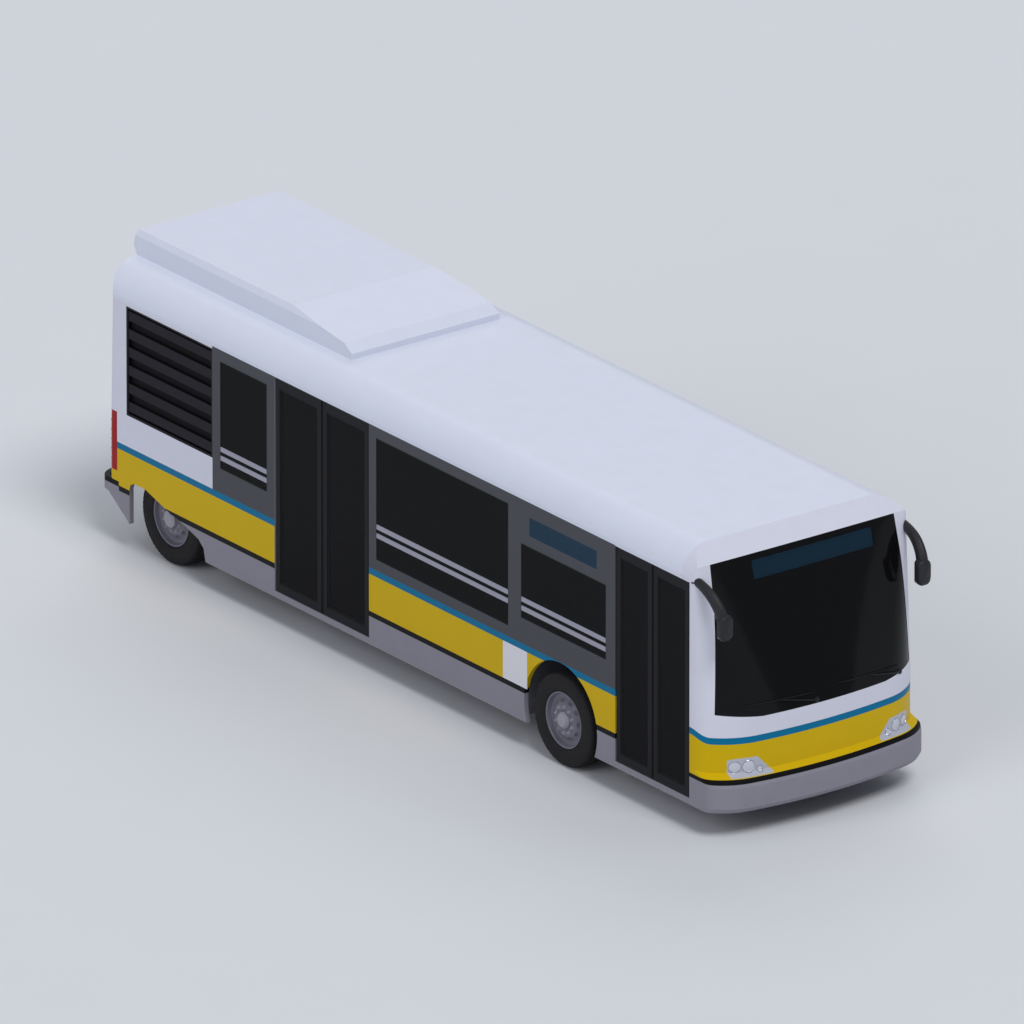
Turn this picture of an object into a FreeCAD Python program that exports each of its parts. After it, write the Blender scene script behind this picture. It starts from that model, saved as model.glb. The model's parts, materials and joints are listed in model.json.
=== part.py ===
"""A two-door low-floor city bus: body shell, glazing, doors, axles, wheels and cabin fittings.

Millimetres. +X is forward, +Y is the bus's left, +Z is up. The origin is on the ground, at the
middle of the bus's length and width. The right side, -Y, is the kerb side with the doors.
"""
import FreeCAD
import Part
import math
import os
import re

from FreeCAD import Vector

doc = FreeCAD.newDocument("CityBus")

# ---------------------------------------------------------------- driving dimensions
SIZES = {
    # body
    "overall_length": 10230, "overall_width": 2590, "ground_clearance": 281, "roof_height": 2895,
    "cove_start": 2587, "wall": 50, "skirt_top": 578, "floor_top": 380, "floor_thickness": 60,
    # front face; setbacks run rearwards, pillars inwards from the body's side
    "front_setback": 105, "corner_depth": 484, "brow_depth": 625, "front_sill": 1205,
    "screen_top": 2743, "screen_top_setback": 400, "brow_setback": 275, "flare_top": 660,
    "bumper_top_front": 600, "pillar_low": 118, "pillar_high": 185, "screen_corner_rise": 52,
    "glass_thickness": 8, "glass_inset": 3,
    # rear face
    "rear_setback": 115, "rear_corner_depth": 300, "rear_lean": 40, "bumper_top_rear": 673,
    "bumper_low_rear": 530, "engine_door_half": 800, "engine_door_low": 760,
    "engine_door_high": 1750, "door_seam": 8,
    # axles and wheels; overhangs run from the bumpers' ends
    "front_overhang": 2645, "rear_overhang": 1110, "tyre_radius": 478, "tyre_width": 275,
    "rim_radius": 286, "rim_wall": 14, "wheel_inset": 15, "rear_wheel_inset": 100, "twin_gap": 45,
    "hub_cap_out": 12, "arch_radius": 585, "arch_lift": 20, "kingpin_inset": 182.5,
    "kingpin_radius": 22, "spindle_radius": 40, "rear_spindle_radius": 60, "bearing_clearance": 0.05,
    # doors; the front door is placed from the nose and the rear one from the tail
    "front_door_behind": 591, "front_door_width": 1183, "rear_door_ahead": 2966,
    "rear_door_width": 1532, "door_low": 345, "door_high": 2580, "leaf_thickness": 40, "leaf_gap": 6,
    "leaf_seam": 12, "leaf_stile": 72, "leaf_rail_low": 90, "leaf_rail_high": 95, "pivot_radius": 9,
    "pivot_clearance": 0.05, "pivot_length": 70,
    # windows and louvres
    "sign_low": 2240, "sign_high": 2432, "rail_height": 50, "rail_low_at": 1455, "rail_high_at": 1546,
    "louvre_ahead": 547, "louvre_width": 1407, "louvre_low": 1415, "louvre_high": 2560,
    "slat_height": 100, "slat_count": 6,
    # roof pod
    "pod_ahead": 130, "pod_flat": 2560, "pod_slope": 1000, "pod_height": 245, "pod_nose_height": 110,
    "pod_inset_low": 395, "pod_inset_high": 445,
    # inside
    "bulkhead_ahead": 2005, "step_height": 200, "step_ahead": 2865, "deck_top": 1020,
    "wheel_box_half": 650, "wheel_box_inner": 480, "wheel_box_top": 1120, "plate_size": 388,
    # interfaces
    "plate_hole_spacing": 178, "plate_hole_radius": 3.5, "front_plate_at": 430, "rear_plate_at": 900,
    "tow_hole_radius": 20, "tow_plate": 35, "front_tow_behind": 495, "rear_tow_ahead": 245,
}

sizes = doc.addObject("Spreadsheet::Sheet", "Sizes")
for row, (alias, value) in enumerate(SIZES.items(), start=1):
    sizes.set(f"A{row}", alias)
    sizes.set(f"B{row}", str(value))
    sizes.setAlias(f"B{row}", alias)
doc.recompute()

# ---------------------------------------------------------------- derived places
places = doc.addObject("App::VarSet", "Places")
known = {alias: f"Sizes.{alias}" for alias in SIZES}


def expression(text):
    """Turn plain names in a formula into references to the sheet and the derived places."""
    return re.sub(r"[a-z][a-z_]*[a-z]", lambda found: known.get(found.group(), found.group()), text)


def derive(name, formula):
    """Add a derived value, bound to the sheet by its formula."""
    places.addProperty("App::PropertyFloat", name)
    places.setExpression(name, expression(formula))
    known[name] = f"Places.{name}"
    doc.recompute()


def value(name):
    """The present value of a sheet cell or a derived place."""
    if name in SIZES:
        return float(sizes.get(name))
    return float(getattr(places, name))


# Places along the bus come from its nose and tail, places across it from its sides.
DERIVED = (
    ("half_width", "overall_width / 2"), ("half_length", "overall_length / 2"),
    ("inner_half", "half_width - wall"), ("cove_radius", "roof_height - cove_start"),
    ("front_face", "half_length - front_setback"), ("rear_face", "half_length - rear_setback"),
    ("front_seam", "front_face - corner_depth"), ("brow_seam", "front_face - brow_depth"),
    ("rear_seam", "rear_corner_depth - rear_face"),
    ("floor_low", "floor_top - floor_thickness"), ("sill_top", "floor_top + step_height"),
    ("rear_floor", "floor_top + 2 * step_height"),
    ("front_axle_x", "half_length - front_overhang"), ("rear_axle_x", "rear_overhang - half_length"),
    ("front_tyre_at", "half_width - wheel_inset - tyre_width / 2"),
    ("rear_tyre_at", "half_width - rear_wheel_inset - tyre_width / 2"),
    ("inner_tyre_at", "rear_tyre_at - tyre_width - twin_gap"),
    ("kingpin_at", "front_tyre_at - kingpin_inset"), ("arch_height", "tyre_radius + arch_lift"),
    ("front_door_to", "half_length - front_door_behind"),
    ("front_door_from", "front_door_to - front_door_width"),
    ("rear_door_from", "rear_door_ahead - half_length"),
    ("rear_door_to", "rear_door_from + rear_door_width"),
    ("louvre_from", "louvre_ahead - half_length"), ("louvre_to", "louvre_from + louvre_width"),
    ("bulkhead_at", "bulkhead_ahead - half_length"), ("step_at", "step_ahead - half_length"),
    ("deck_end", "wall + 150 - rear_face"), ("frame_low", "floor_low - 35"),
    ("front_tow_at", "half_length - front_tow_behind"), ("rear_tow_at", "rear_tow_ahead - half_length"),
    ("pod_top", "roof_height + pod_height"),
)
for name, formula in DERIVED:
    derive(name, formula)

pieces = []


def piece(shape_object, label):
    """Name a finished sub-part; its label is also its file's name."""
    shape_object.Label = label
    pieces.append(shape_object)
    return shape_object


def block(x, y, z):
    """A Part::Box between two planes along each axis, given as formulas."""
    box = doc.addObject("Part::Box", "Block")
    for size, axis, (low, high) in (("Length", "x", x), ("Width", "y", y), ("Height", "z", z)):
        box.setExpression(f"Placement.Base.{axis}", expression(str(low)))
        box.setExpression(size, expression(f"({high}) - ({low})"))
    return box


def rod(x, y, z, radius, length, axis="z"):
    """A Part::Cylinder from a point along one axis, given as formulas."""
    cylinder = doc.addObject("Part::Cylinder", "Rod")
    turn = {"x": (Vector(0, 1, 0), 90), "y": (Vector(1, 0, 0), -90), "z": (Vector(0, 0, 1), 0)}
    cylinder.Placement = FreeCAD.Placement(Vector(), FreeCAD.Rotation(*turn[axis]))
    for name, place in (("x", x), ("y", y), ("z", z)):
        cylinder.setExpression(f"Placement.Base.{name}", expression(str(place)))
    cylinder.setExpression("Radius", expression(str(radius)))
    cylinder.setExpression("Height", expression(str(length)))
    return cylinder


def joined(shapes):
    """One object that holds all the given ones."""
    shapes = list(shapes)
    if len(shapes) == 1:
        return shapes[0]
    fuse = doc.addObject("Part::MultiFuse", "Joined")
    fuse.Shapes = shapes
    return fuse


def group(shapes):
    """Several solids that don't touch, kept in one object."""
    compound = doc.addObject("Part::Compound", "Group")
    compound.Links = list(shapes)
    return compound


def less(base, tools):
    """The base with the tools cut away."""
    cut = doc.addObject("Part::Cut", "Less")
    cut.Base = base
    cut.Tool = joined(tools)
    return cut


def formed(shape):
    """A Part::Feature for a form that no primitive gives."""
    feature = doc.addObject("Part::Feature", "Formed")
    feature.Shape = shape
    feature.Placement = FreeCAD.Placement()
    return feature


def sided(side, low, high):
    """A Y range on one side, given from the middle outwards: side 1 is left, -1 is right."""
    if side > 0:
        return (low, high)
    return (f"-({high})", f"-({low})")


SIDES = (("right", -1), ("left", 1))


# ---------------------------------------------------------------- the hull's form
# A level's plan end is three tangent arcs from the side to the middle:
# (corner radius, corner turn, shoulder radius, shoulder turn); the third arc closes at the middle.
FRONT_LOW = (300, 42, 700, 40)
FRONT_HIGH = (70, 50, 80, 39)
BUMPER_FRONT = (150, 45, 600, 35)
REAR_END = (80, 45, 250, 37)


def plan_arcs(middle, form):
    """The three arcs of one end as (centre, radius, start, end), and where the straight side stops."""
    half = value("half_width")
    radius_one, turn_one, radius_two, turn_two = form
    first = math.radians(turn_one)
    second = first + math.radians(turn_two)
    across_one = radius_one * (1 - math.cos(first))
    across_two = across_one + radius_two * (math.cos(first) - math.cos(second))
    along_one = radius_one * math.sin(first)
    along_two = along_one + radius_two * (math.sin(second) - math.sin(first))
    radius_three = (half - across_two) / math.cos(second)
    start = middle - along_two - radius_three * (1 - math.sin(second))
    centres = (
        (start, radius_one),
        (start + along_one - radius_two * math.sin(first), across_one + radius_two * math.cos(first)),
        (start + along_two - radius_three * math.sin(second), half),
    )
    turns = ((0, first), (first, second), (second, math.pi / 2))
    radii = (radius_one, radius_two, radius_three)
    return start, list(zip(centres, radii, turns))


def end_edges(middle, form, inset, height, end):
    """The edges of one end of a plan outline, from its right side to its left; end is 1 or -1."""
    half = value("half_width")
    start, arcs = plan_arcs(middle, form)

    def point(centre, radius, turn, side):
        along = centre[0] + (radius - inset) * math.sin(turn)
        across = centre[1] - (radius - inset) * math.cos(turn)
        return Vector(end * along, side * (half - across), height)

    def arc(index, side, backwards):
        centre, radius, (low, high) = arcs[index]
        stops = (high, (low + high) / 2, low) if backwards else (low, (low + high) / 2, high)
        return Part.Arc(*(point(centre, radius, turn, side) for turn in stops)).toShape()

    centre, radius, (low, high) = arcs[2]
    middle_arc = Part.Arc(point(centre, radius, low, -1), point(centre, radius, high, -1),
                          point(centre, radius, low, 1)).toShape()
    near = [arc(0, -1, False), arc(1, -1, False)]
    far = [arc(1, 1, True), arc(0, 1, True)]
    return end * (start), near + [middle_arc] + far


def outline(height, inset, front, rear):
    """A closed plan outline at one height; front and rear are (middle, form)."""
    side = value("half_width") - inset
    front_start, front_edges = end_edges(*front, inset, height, 1)
    rear_start, rear_edges = end_edges(*rear, inset, height, -1)
    right = Part.LineSegment(Vector(rear_start, -side, height), Vector(front_start, -side, height))
    left = Part.LineSegment(Vector(front_start, side, height), Vector(rear_start, side, height))
    return Part.Wire([right.toShape()] + front_edges + [left.toShape()] + rear_edges[::-1])


def stacked(levels, inset):
    """A solid of straight-ruled lofts between levels of (height, front, rear)."""
    wires = [outline(height, inset, front, rear) for height, front, rear in levels]
    stages = [Part.makeLoft([low, high], True, True) for low, high in zip(wires, wires[1:])]
    return stages[0].fuse(stages[1:]) if len(stages) > 1 else stages[0]


def body_levels():
    """The body's plan from the bumpers' tops to above the roof."""
    face = value("front_face")
    rear = value("rear_face")
    lip = face + (value("half_length") - face) * 0.8
    screen_top = face - value("screen_top_setback")
    brow = screen_top - value("brow_setback")
    roof = value("roof_height")
    above = roof + 30
    rear_top = rear - value("rear_lean")
    return [
        (value("bumper_top_front"), (lip, BUMPER_FRONT), (rear, REAR_END)),
        (value("flare_top"), (face, FRONT_LOW), (rear, REAR_END)),
        (value("front_sill"), (face, FRONT_LOW), (rear, REAR_END)),
        (value("screen_top"), (screen_top, FRONT_HIGH), (rear_top, REAR_END)),
        (above, (brow, FRONT_HIGH), (rear_top, REAR_END)),
    ]


# How far outside the body's side the cove's curve starts, so that it crosses the side at an angle.
COVE_LEAD = 4


def above_roof(inset):
    """What lies outside the coves and the flat roof: a band over the body, drawn along X."""
    side = value("half_width") - inset + COVE_LEAD
    top = value("roof_height") - inset
    start = value("cove_start")
    radius = value("cove_radius") - inset
    middle = value("half_width") - inset - radius
    slant = 0.7 * radius
    reach = value("half_length") + value("wall")
    wide = value("half_width") + value("wall")
    high = value("roof_height") + 2 * value("wall")
    points = [(side, start), (wide, start), (wide, high), (-wide, high), (-wide, start), (-side, start),
              (-middle, top), (middle, top)]
    corners = [Vector(-reach, y, z) for y, z in points]
    right = Part.Arc(corners[5], Vector(-reach, -middle - slant, start + slant), corners[6])
    left = Part.Arc(corners[7], Vector(-reach, middle + slant, start + slant), corners[0])
    edges = [Part.LineSegment(*pair) for pair in zip(corners[:5], corners[1:6])]
    edges += [right, Part.LineSegment(corners[6], corners[7]), left]
    wire = Part.Wire([edge.toShape() for edge in edges])
    return Part.Face(wire).extrude(Vector(2 * reach, 0, 0))


def hull(inset):
    """The body's solid form, inset by a distance from its outer surface."""
    return stacked(body_levels(), inset).cut(above_roof(inset))


def slab(x, y, z):
    """A plain box shape between two planes along each axis."""
    corner = Vector(x[0], y[0], z[0])
    return Part.makeBox(x[1] - x[0], y[1] - y[0], z[1] - z[0], corner)


def prism(points, along, low, high):
    """A polygon drawn along X or Y between two planes; points are the other two coordinates."""
    if along == "x":
        corners = [Vector(low, y, z) for y, z in points]
        way = Vector(high - low, 0, 0)
    else:
        corners = [Vector(x, low, z) for x, z in points]
        way = Vector(0, high - low, 0)
    return Part.Face(Part.makePolygon(corners + corners[:1])).extrude(way)


OUTER = hull(0)
SHELL = OUTER.cut(hull(value("wall")))
FAR = value("half_length") + 2 * value("wall")
WIDE = value("half_width") + value("wall")
HIGH = value("roof_height") + value("wall")


# ---------------------------------------------------------------- front
def screen_opening():
    """The windscreen's outline seen from the front, drawn through the face."""
    low = value("half_width") - value("pillar_low")
    high = value("half_width") - value("pillar_high")
    sill = value("front_sill")
    corner = sill + value("screen_corner_rise")
    flat = 0.63 * low
    points = [(-low, corner), (-flat, sill), (flat, sill), (low, corner),
              (high, value("screen_top")), (-high, value("screen_top"))]
    return prism(points, "x", value("brow_seam"), FAR)


# A headlamp's corners seen from the front: (distance in from the body's side, height).
HEADLAMP = ((210, 622), (210, 790), (295, 803), (495, 803), (645, 640), (645, 622))


def headlamp_form(side):
    """A headlamp's outline drawn through the front face."""
    points = [(side * (value("half_width") - inwards), height) for inwards, height in HEADLAMP]
    return prism(points, "x", value("front_seam") + value("wall"), FAR)


def tail_lamp_form(side):
    """A tail lamp's tall strip, wrapping the rear corner."""
    across = sorted((side * (value("half_width") - 115), side * WIDE))
    return slab((-FAR, -value("rear_face") + 275), across, (780, 1400))


def front_panel():
    """The front mask: lower face, corner pillars and brow, with the windscreen and lamps cut out."""
    seam = value("cove_start")
    mask = slab((value("front_seam"), FAR), (-WIDE, WIDE), (0, seam))
    brow = slab((value("brow_seam"), FAR), (-WIDE, WIDE), (seam, HIGH))
    shell = SHELL.common(mask.fuse(brow))
    return shell.cut([screen_opening(), headlamp_form(1), headlamp_form(-1)])


def skin(outer_inset, depth, form):
    """A sheet that follows the hull at an inset, bounded by a form."""
    outer = hull(outer_inset).common(form)
    return outer.cut(hull(outer_inset + depth))


piece(formed(front_panel()), "front_panel")
glass_depth = value("glass_thickness")
piece(formed(skin(value("glass_inset"), glass_depth, screen_opening())), "windscreen")
lamp_depth = 35
lamps = [skin(0, lamp_depth, headlamp_form(side)) for _, side in SIDES]
piece(formed(Part.makeCompound(lamps)), "headlamps")


# ---------------------------------------------------------------- rear
HINGE_PLACES = (-450, 450)
HINGE_RADIUS = 14
HINGE_PIN = 6


def hinge_axis():
    """The engine door's hinge line, just outside the face and above the door."""
    return -(value("rear_face") + 12), value("engine_door_high") + 4


def along_y(radius, low, high, x, z):
    """A cylinder shape along Y."""
    return Part.makeCylinder(radius, high - low, Vector(x, low, z), Vector(0, 1, 0))


def plate_holes(height, low, high):
    """The pair of number plate holes, drilled along X between two planes."""
    reach = value("plate_hole_spacing") / 2
    return [Part.makeCylinder(value("plate_hole_radius"), high - low, Vector(low, y, height), Vector(1, 0, 0))
            for y in (-reach, reach)]


def engine_door_form(gap):
    """The engine door's block through the rear wall, larger by a gap."""
    half = value("engine_door_half") + gap
    depth = value("rear_face") - value("wall") - 150
    heights = (value("engine_door_low") - gap, value("engine_door_high") + gap)
    return slab((-FAR, -depth), (-half, half), heights)


def rear_panel():
    """The rear wall with its corners and hinge brackets, open for the engine door and the lamps."""
    place = slab((-FAR, value("rear_seam")), (-WIDE, WIDE), (value("bumper_top_rear"),
                                                                    value("cove_start")))
    cuts = [engine_door_form(value("door_seam")), tail_lamp_form(1), tail_lamp_form(-1)]
    x, z = hinge_axis()
    parts = []
    for y in HINGE_PLACES:
        parts.append(along_y(HINGE_RADIUS, y - 50, y - 20, x, z))
        parts.append(slab((x, x + 50), (y - 50, y - 20), (z + 4, z + 50)))
        parts.append(along_y(HINGE_PIN, y - 50, y + 16, x, z))
    return SHELL.common(place).cut(cuts).fuse(parts)


def engine_door():
    """The top-hinged engine door with its two bored tabs."""
    x, z = hinge_axis()
    tabs = []
    bores = []
    for y in HINGE_PLACES:
        tabs.append(along_y(HINGE_RADIUS, y - 15, y + 15, x, z))
        tabs.append(slab((x, x + 50), (y - 15, y + 15), (z - 54, z - 4)))
        bores.append(along_y(HINGE_PIN + value("bearing_clearance"), y - 16, y + 16, x, z))
    bores += plate_holes(value("rear_plate_at"), -FAR, -value("front_face") + 200)
    return SHELL.common(engine_door_form(0)).fuse(tabs).cut(bores)


piece(formed(rear_panel()), "rear_panel")
piece(formed(engine_door()), "engine_door")
lamps = [SHELL.common(tail_lamp_form(side)) for _, side in SIDES]
piece(formed(Part.makeCompound(lamps)), "tail_lamps")


# ---------------------------------------------------------------- bumpers
# The rear arch's outline: (distance ahead of the rear axle, height).
REAR_ARCH = ((-520, 200), (-520, 650), (-500, 700), (-440, 728), (-260, 728), (-100, 680), (160, 600),
             (300, 580), (610, 486), (695, 413), (740, 200))


def rear_arch_form(side):
    """The low raked opening over a rear wheel."""
    points = [(ahead + value("rear_axle_x"), height) for ahead, height in REAR_ARCH]
    low, high = sorted((side * (value("inner_half") - 5), side * WIDE))
    return prism(points, "y", low, high)


def bumper(levels, ahead, behind):
    """A bumper shell between two X planes."""
    shell = stacked(levels, 0).cut(stacked(levels, value("wall")))
    return shell.common(slab((behind, ahead), (-WIDE, WIDE), (0, HIGH)))


def front_bumper():
    """The front bumper, rounded in at its bottom and drawn in to the body at its top."""
    nose = value("half_length")
    rear = (value("rear_face"), REAR_END)
    lip = value("front_face") + (nose - value("front_face")) * 0.8
    low = value("ground_clearance")
    levels = [(low, (nose - 30, BUMPER_FRONT), rear), (low + 45, (nose, BUMPER_FRONT), rear),
              (value("bumper_top_front") - 60, (nose, BUMPER_FRONT), rear),
              (value("bumper_top_front"), (lip, BUMPER_FRONT), rear)]
    shell = bumper(levels, FAR, value("front_seam"))
    return shell.cut(plate_holes(value("front_plate_at"), value("front_face"), FAR))


def rear_bumper():
    """The rear bumper, which sweeps up behind the rear arches."""
    tail = value("half_length")
    front = (value("front_face"), FRONT_LOW)
    start = value("rear_axle_x") + REAR_ARCH[0][0]
    corner = -value("rear_face") + 124
    low = value("ground_clearance")
    levels = [(low, front, (tail, REAR_END)), (value("bumper_top_rear"), front, (tail, REAR_END))]
    shell = bumper(levels, start, -FAR)
    sweep = prism([(start, 0), (start, low), (corner, value("bumper_low_rear")),
                   (-FAR, value("bumper_low_rear") + 20), (-FAR, 0)], "y", -WIDE, WIDE)
    above = slab((value("rear_seam"), 0), (-WIDE, WIDE), (value("skirt_top"), HIGH))
    return shell.cut([sweep, above])


piece(formed(front_bumper()), "front_bumper")
piece(formed(rear_bumper()), "rear_bumper")


# ---------------------------------------------------------------- roof
def roof_part(low, high):
    """The roof between two Y planes, from the rear end to the brow."""
    return SHELL.common(slab((-FAR, value("brow_seam")), (low, high), (value("cove_start"), HIGH)))


def pod_form():
    """The roof pod: flat top, sloping nose and chamfered sides."""
    base = value("roof_height")
    top = value("pod_top")
    rear = value("pod_ahead") - value("half_length")
    knee = rear + value("pod_flat")
    nose = knee + value("pod_slope")
    low_half = value("half_width") - value("pod_inset_low")
    high_half = value("half_width") - value("pod_inset_high")
    side = [(rear + 60, base), (rear, base + 90), (rear + 25, top), (knee, top),
            (nose - 130, base + value("pod_nose_height") + 25), (nose, base + 60), (nose, base)]
    profile = prism(side, "y", -low_half, low_half)
    shoulder = top - 60
    across = [(-low_half, base), (low_half, base), (low_half - 15, shoulder), (high_half, top),
              (-high_half, top), (-low_half + 15, shoulder)]
    return profile.common(prism(across, "x", rear, nose))


crown = value("half_width") - value("cove_radius") - 27
piece(formed(roof_part(-crown, crown)), "roof")
piece(formed(roof_part(-WIDE, -crown)), "right_cove")
piece(formed(roof_part(crown, WIDE)), "left_cove")
piece(formed(pod_form()), "roof_pod")


# ---------------------------------------------------------------- side walls
# Side windows: (name, from, to, low, high), placed from the nose, the tail and the rear door.
REAR_WINDOW = ("rear", "2079 - half_length", "2843 - half_length", 1340, 2466)
MIDDLE_WINDOW = ("middle", "rear_door_to + 116", "half_length - 3484", 1200, 2472)
FRONT_WINDOW = ("front", "half_length - 3282", "half_length - 1921", 1350, 2127)
RIGHT_WINDOWS = (REAR_WINDOW, MIDDLE_WINDOW, FRONT_WINDOW)
LEFT_WINDOWS = RIGHT_WINDOWS + (
    ("opposite_door", "rear_door_from", "rear_door_to", 1200, 2472),
    ("driver", "front_door_from + 79", "front_door_to - 84", 1250, 2466),
)
# Doorways: (name, from, to) as sheet names.
DOORWAYS = (("front", "front_door_from", "front_door_to"), ("rear", "rear_door_from", "rear_door_to"))
SIGN_DEPTH = 30
SIGN_SPAN = ("half_length - 3146", "half_length - 2070")
PLATE_SPAN = ("half_length - 3571", "half_length - 3571 + plate_size")
PLATE_DEPTH = 4
PLATE_LOW = 633
PANE_INSET = 6
PANE_DEPTH = 6


def windows(side):
    """One side's window table."""
    return LEFT_WINDOWS if side > 0 else RIGHT_WINDOWS


def through(side):
    """A Y range that passes right through a side wall."""
    return sided(side, "inner_half - 5", "half_width + 5")


def outer_layer(side, depth):
    """A Y range from the wall's outer face to a depth."""
    return sided(side, f"half_width - {depth}", "half_width")


def front_arch(side):
    """The round opening over a front wheel."""
    low = sided(side, "inner_half - 5", "half_width + 5")[0]
    return rod("front_axle_x", low, "arch_height", "arch_radius", "wall + 10", "y")


def doorway(index, side):
    """The opening for one pair of door leaves."""
    _, start, end = DOORWAYS[index]
    return block((start, end), through(side), ("door_low", "door_high"))


for side_name, side in SIDES:
    wall = block(("rear_seam", "front_seam"), sided(side, "inner_half", "half_width"),
                 ("skirt_top", "cove_start"))
    cuts = [block((start, end), through(side), (low, high)) for _, start, end, low, high in windows(side)]
    cuts.append(block(("louvre_from", "louvre_to"), through(side), ("louvre_low", "louvre_high")))
    cuts.append(block(SIGN_SPAN, outer_layer(side, SIGN_DEPTH), ("sign_low", "sign_high")))
    cuts.append(block(PLATE_SPAN, outer_layer(side, PLATE_DEPTH), (PLATE_LOW, f"{PLATE_LOW} + plate_size")))
    cuts.append(front_arch(side))
    cuts.append(formed(rear_arch_form(side)))
    if side < 0:
        cuts += [doorway(0, side), doorway(1, side)]
    piece(less(wall, cuts), f"{side_name}_wall")

skirts = []
for _, side in SIDES:
    skirt = block(("rear_axle_x", "front_seam"), sided(side, "inner_half", "half_width"),
                  ("ground_clearance", "skirt_top"))
    cuts = [front_arch(side), formed(rear_arch_form(side))]
    if side < 0:
        cuts += [doorway(0, side), doorway(1, side)]
    skirts.append(less(skirt, cuts))
piece(group(skirts), "side_skirts")

panes = []
rails = []
for _, side in SIDES:
    for name, start, end, low, high in windows(side):
        pane = sided(side, f"half_width - {PANE_INSET + PANE_DEPTH}", f"half_width - {PANE_INSET}")
        panes.append(block((start, end), pane, (low, high)))
        if name != "driver":
            bar = sided(side, f"half_width - {PANE_INSET}", "half_width - 1")
            for centre in ("rail_low_at", "rail_high_at"):
                heights = (f"{centre} - rail_height / 2", f"{centre} + rail_height / 2")
                rails.append(block((start, end), bar, heights))
piece(group(panes), "side_windows")
piece(group(rails), "window_rails")

plates = []
for _, side in SIDES:
    plates.append(block(PLATE_SPAN, outer_layer(side, PLATE_DEPTH), (PLATE_LOW, f"{PLATE_LOW} + plate_size")))
piece(group(plates), "blank_plates")

# The front sign stands just behind the windscreen, a little to the bus's left; the side signs are
# let into the walls over the front windows.
SIGN_LEFT = 826
SIGN_RIGHT = -624
behind_glass = value("glass_inset") + glass_depth + 0.3
sign_place = slab((value("brow_seam"), FAR), (SIGN_RIGHT, SIGN_LEFT), (2492, 2680))
signs = [formed(skin(behind_glass, SIGN_DEPTH, sign_place))]
for _, side in SIDES:
    signs.append(block(SIGN_SPAN, outer_layer(side, SIGN_DEPTH), ("sign_low", "sign_high")))
piece(group(signs), "destination_signs")

# Louvres: a recessed backing with slats standing out of it.
LOUVRE_BACK = 15
SLAT_DEPTH = 25
louvres = []
for _, side in SIDES:
    back = sided(side, "inner_half", f"inner_half + {LOUVRE_BACK}")
    parts = [block(("louvre_from", "louvre_to"), back, ("louvre_low", "louvre_high"))]
    out = sided(side, f"inner_half + {LOUVRE_BACK}", f"inner_half + {LOUVRE_BACK + SLAT_DEPTH}")
    pitch = "((louvre_high - louvre_low) / slat_count)"
    for count in range(int(value("slat_count"))):
        low = f"louvre_low + {pitch} * {count} + ({pitch} - slat_height) / 2"
        parts.append(block(("louvre_from", "louvre_to"), out, (low, f"{low} + slat_height")))
    louvres.append(joined(parts))
piece(group(louvres), "side_louvres")


# ---------------------------------------------------------------- doors
def leaf(prefix, start, end, hinge_rear):
    """One door leaf: a frame with a round hinge edge, bored for its pivots, and its glass."""
    gap = "leaf_gap"
    seam = "leaf_seam / 2"
    near, far = (gap, seam) if hinge_rear else (seam, gap)
    low, high = f"{start} + {near}", f"{end} - {far}"
    axis_x = f"({low}) + leaf_thickness / 2" if hinge_rear else f"({high}) - leaf_thickness / 2"
    outer = sided(-1, "half_width - leaf_gap - leaf_thickness", "half_width - leaf_gap")
    axis_y = "-(half_width - leaf_gap - leaf_thickness / 2)"
    bottom, top = "door_low + leaf_gap", "door_high - leaf_gap"
    flat = (axis_x, high) if hinge_rear else (low, axis_x)
    body = joined([block(flat, outer, (bottom, top)),
                   rod(axis_x, axis_y, bottom, "leaf_thickness / 2", f"({top}) - ({bottom})")])
    glass_x = (f"{low} + leaf_stile", f"{high} - leaf_stile")
    glass_z = (f"{bottom} + leaf_rail_low", f"{top} - leaf_rail_high")
    hole = block(glass_x, sided(-1, "half_width - leaf_gap - leaf_thickness - 5", "half_width"), glass_z)
    bore = "pivot_radius + pivot_clearance"
    bores = [rod(axis_x, axis_y, f"{bottom} - 1", bore, "pivot_length"),
             rod(axis_x, axis_y, f"{top} + 1 - pivot_length", bore, "pivot_length")]
    piece(less(body, [hole] + bores), f"{prefix}_leaf")
    middle = "half_width - leaf_gap - leaf_thickness / 2"
    pane = sided(-1, f"{middle} - 4", f"{middle} + 4")
    piece(block(glass_x, pane, glass_z), f"{prefix}_glass")
    reach = "pivot_length - 6"
    return [rod(axis_x, axis_y, "door_low", "pivot_radius", reach),
            rod(axis_x, axis_y, f"door_high - ({reach})", "pivot_radius", reach)]


pivots = []
for name, start, end in DOORWAYS:
    centre = f"(({start} + {end}) / 2)"
    pivots += leaf(f"{name}_door_rear", start, centre, True)
    pivots += leaf(f"{name}_door_front", centre, end, False)
piece(group(pivots), "door_pivots")


# ---------------------------------------------------------------- floor and cabin structure
floor_parts = [
    block(("step_at", "front_seam"), ("-inner_half", "inner_half"), ("floor_low", "floor_top")),
    block(("step_at - wall", "step_at"), ("-inner_half", "inner_half"), ("floor_low", "sill_top")),
    block(("step_at - 300", "step_at - wall"), ("-inner_half", "inner_half"),
          ("sill_top - floor_thickness", "sill_top")),
    block(("step_at - 300 - wall", "step_at - 300"), ("-inner_half", "inner_half"),
          ("sill_top - floor_thickness", "rear_floor")),
    block(("bulkhead_at", "step_at - 300 - wall"), ("-inner_half", "inner_half"),
          ("rear_floor - floor_thickness", "rear_floor")),
]
wells = []
for _, side in SIDES:
    wells.append(block(("front_axle_x - wheel_box_half", "front_axle_x + wheel_box_half"),
                       sided(side, "wheel_box_inner", "inner_half + 5"), ("floor_low - 5", "floor_top + 5")))
piece(less(joined(floor_parts), wells), "cabin_floor")

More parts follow.
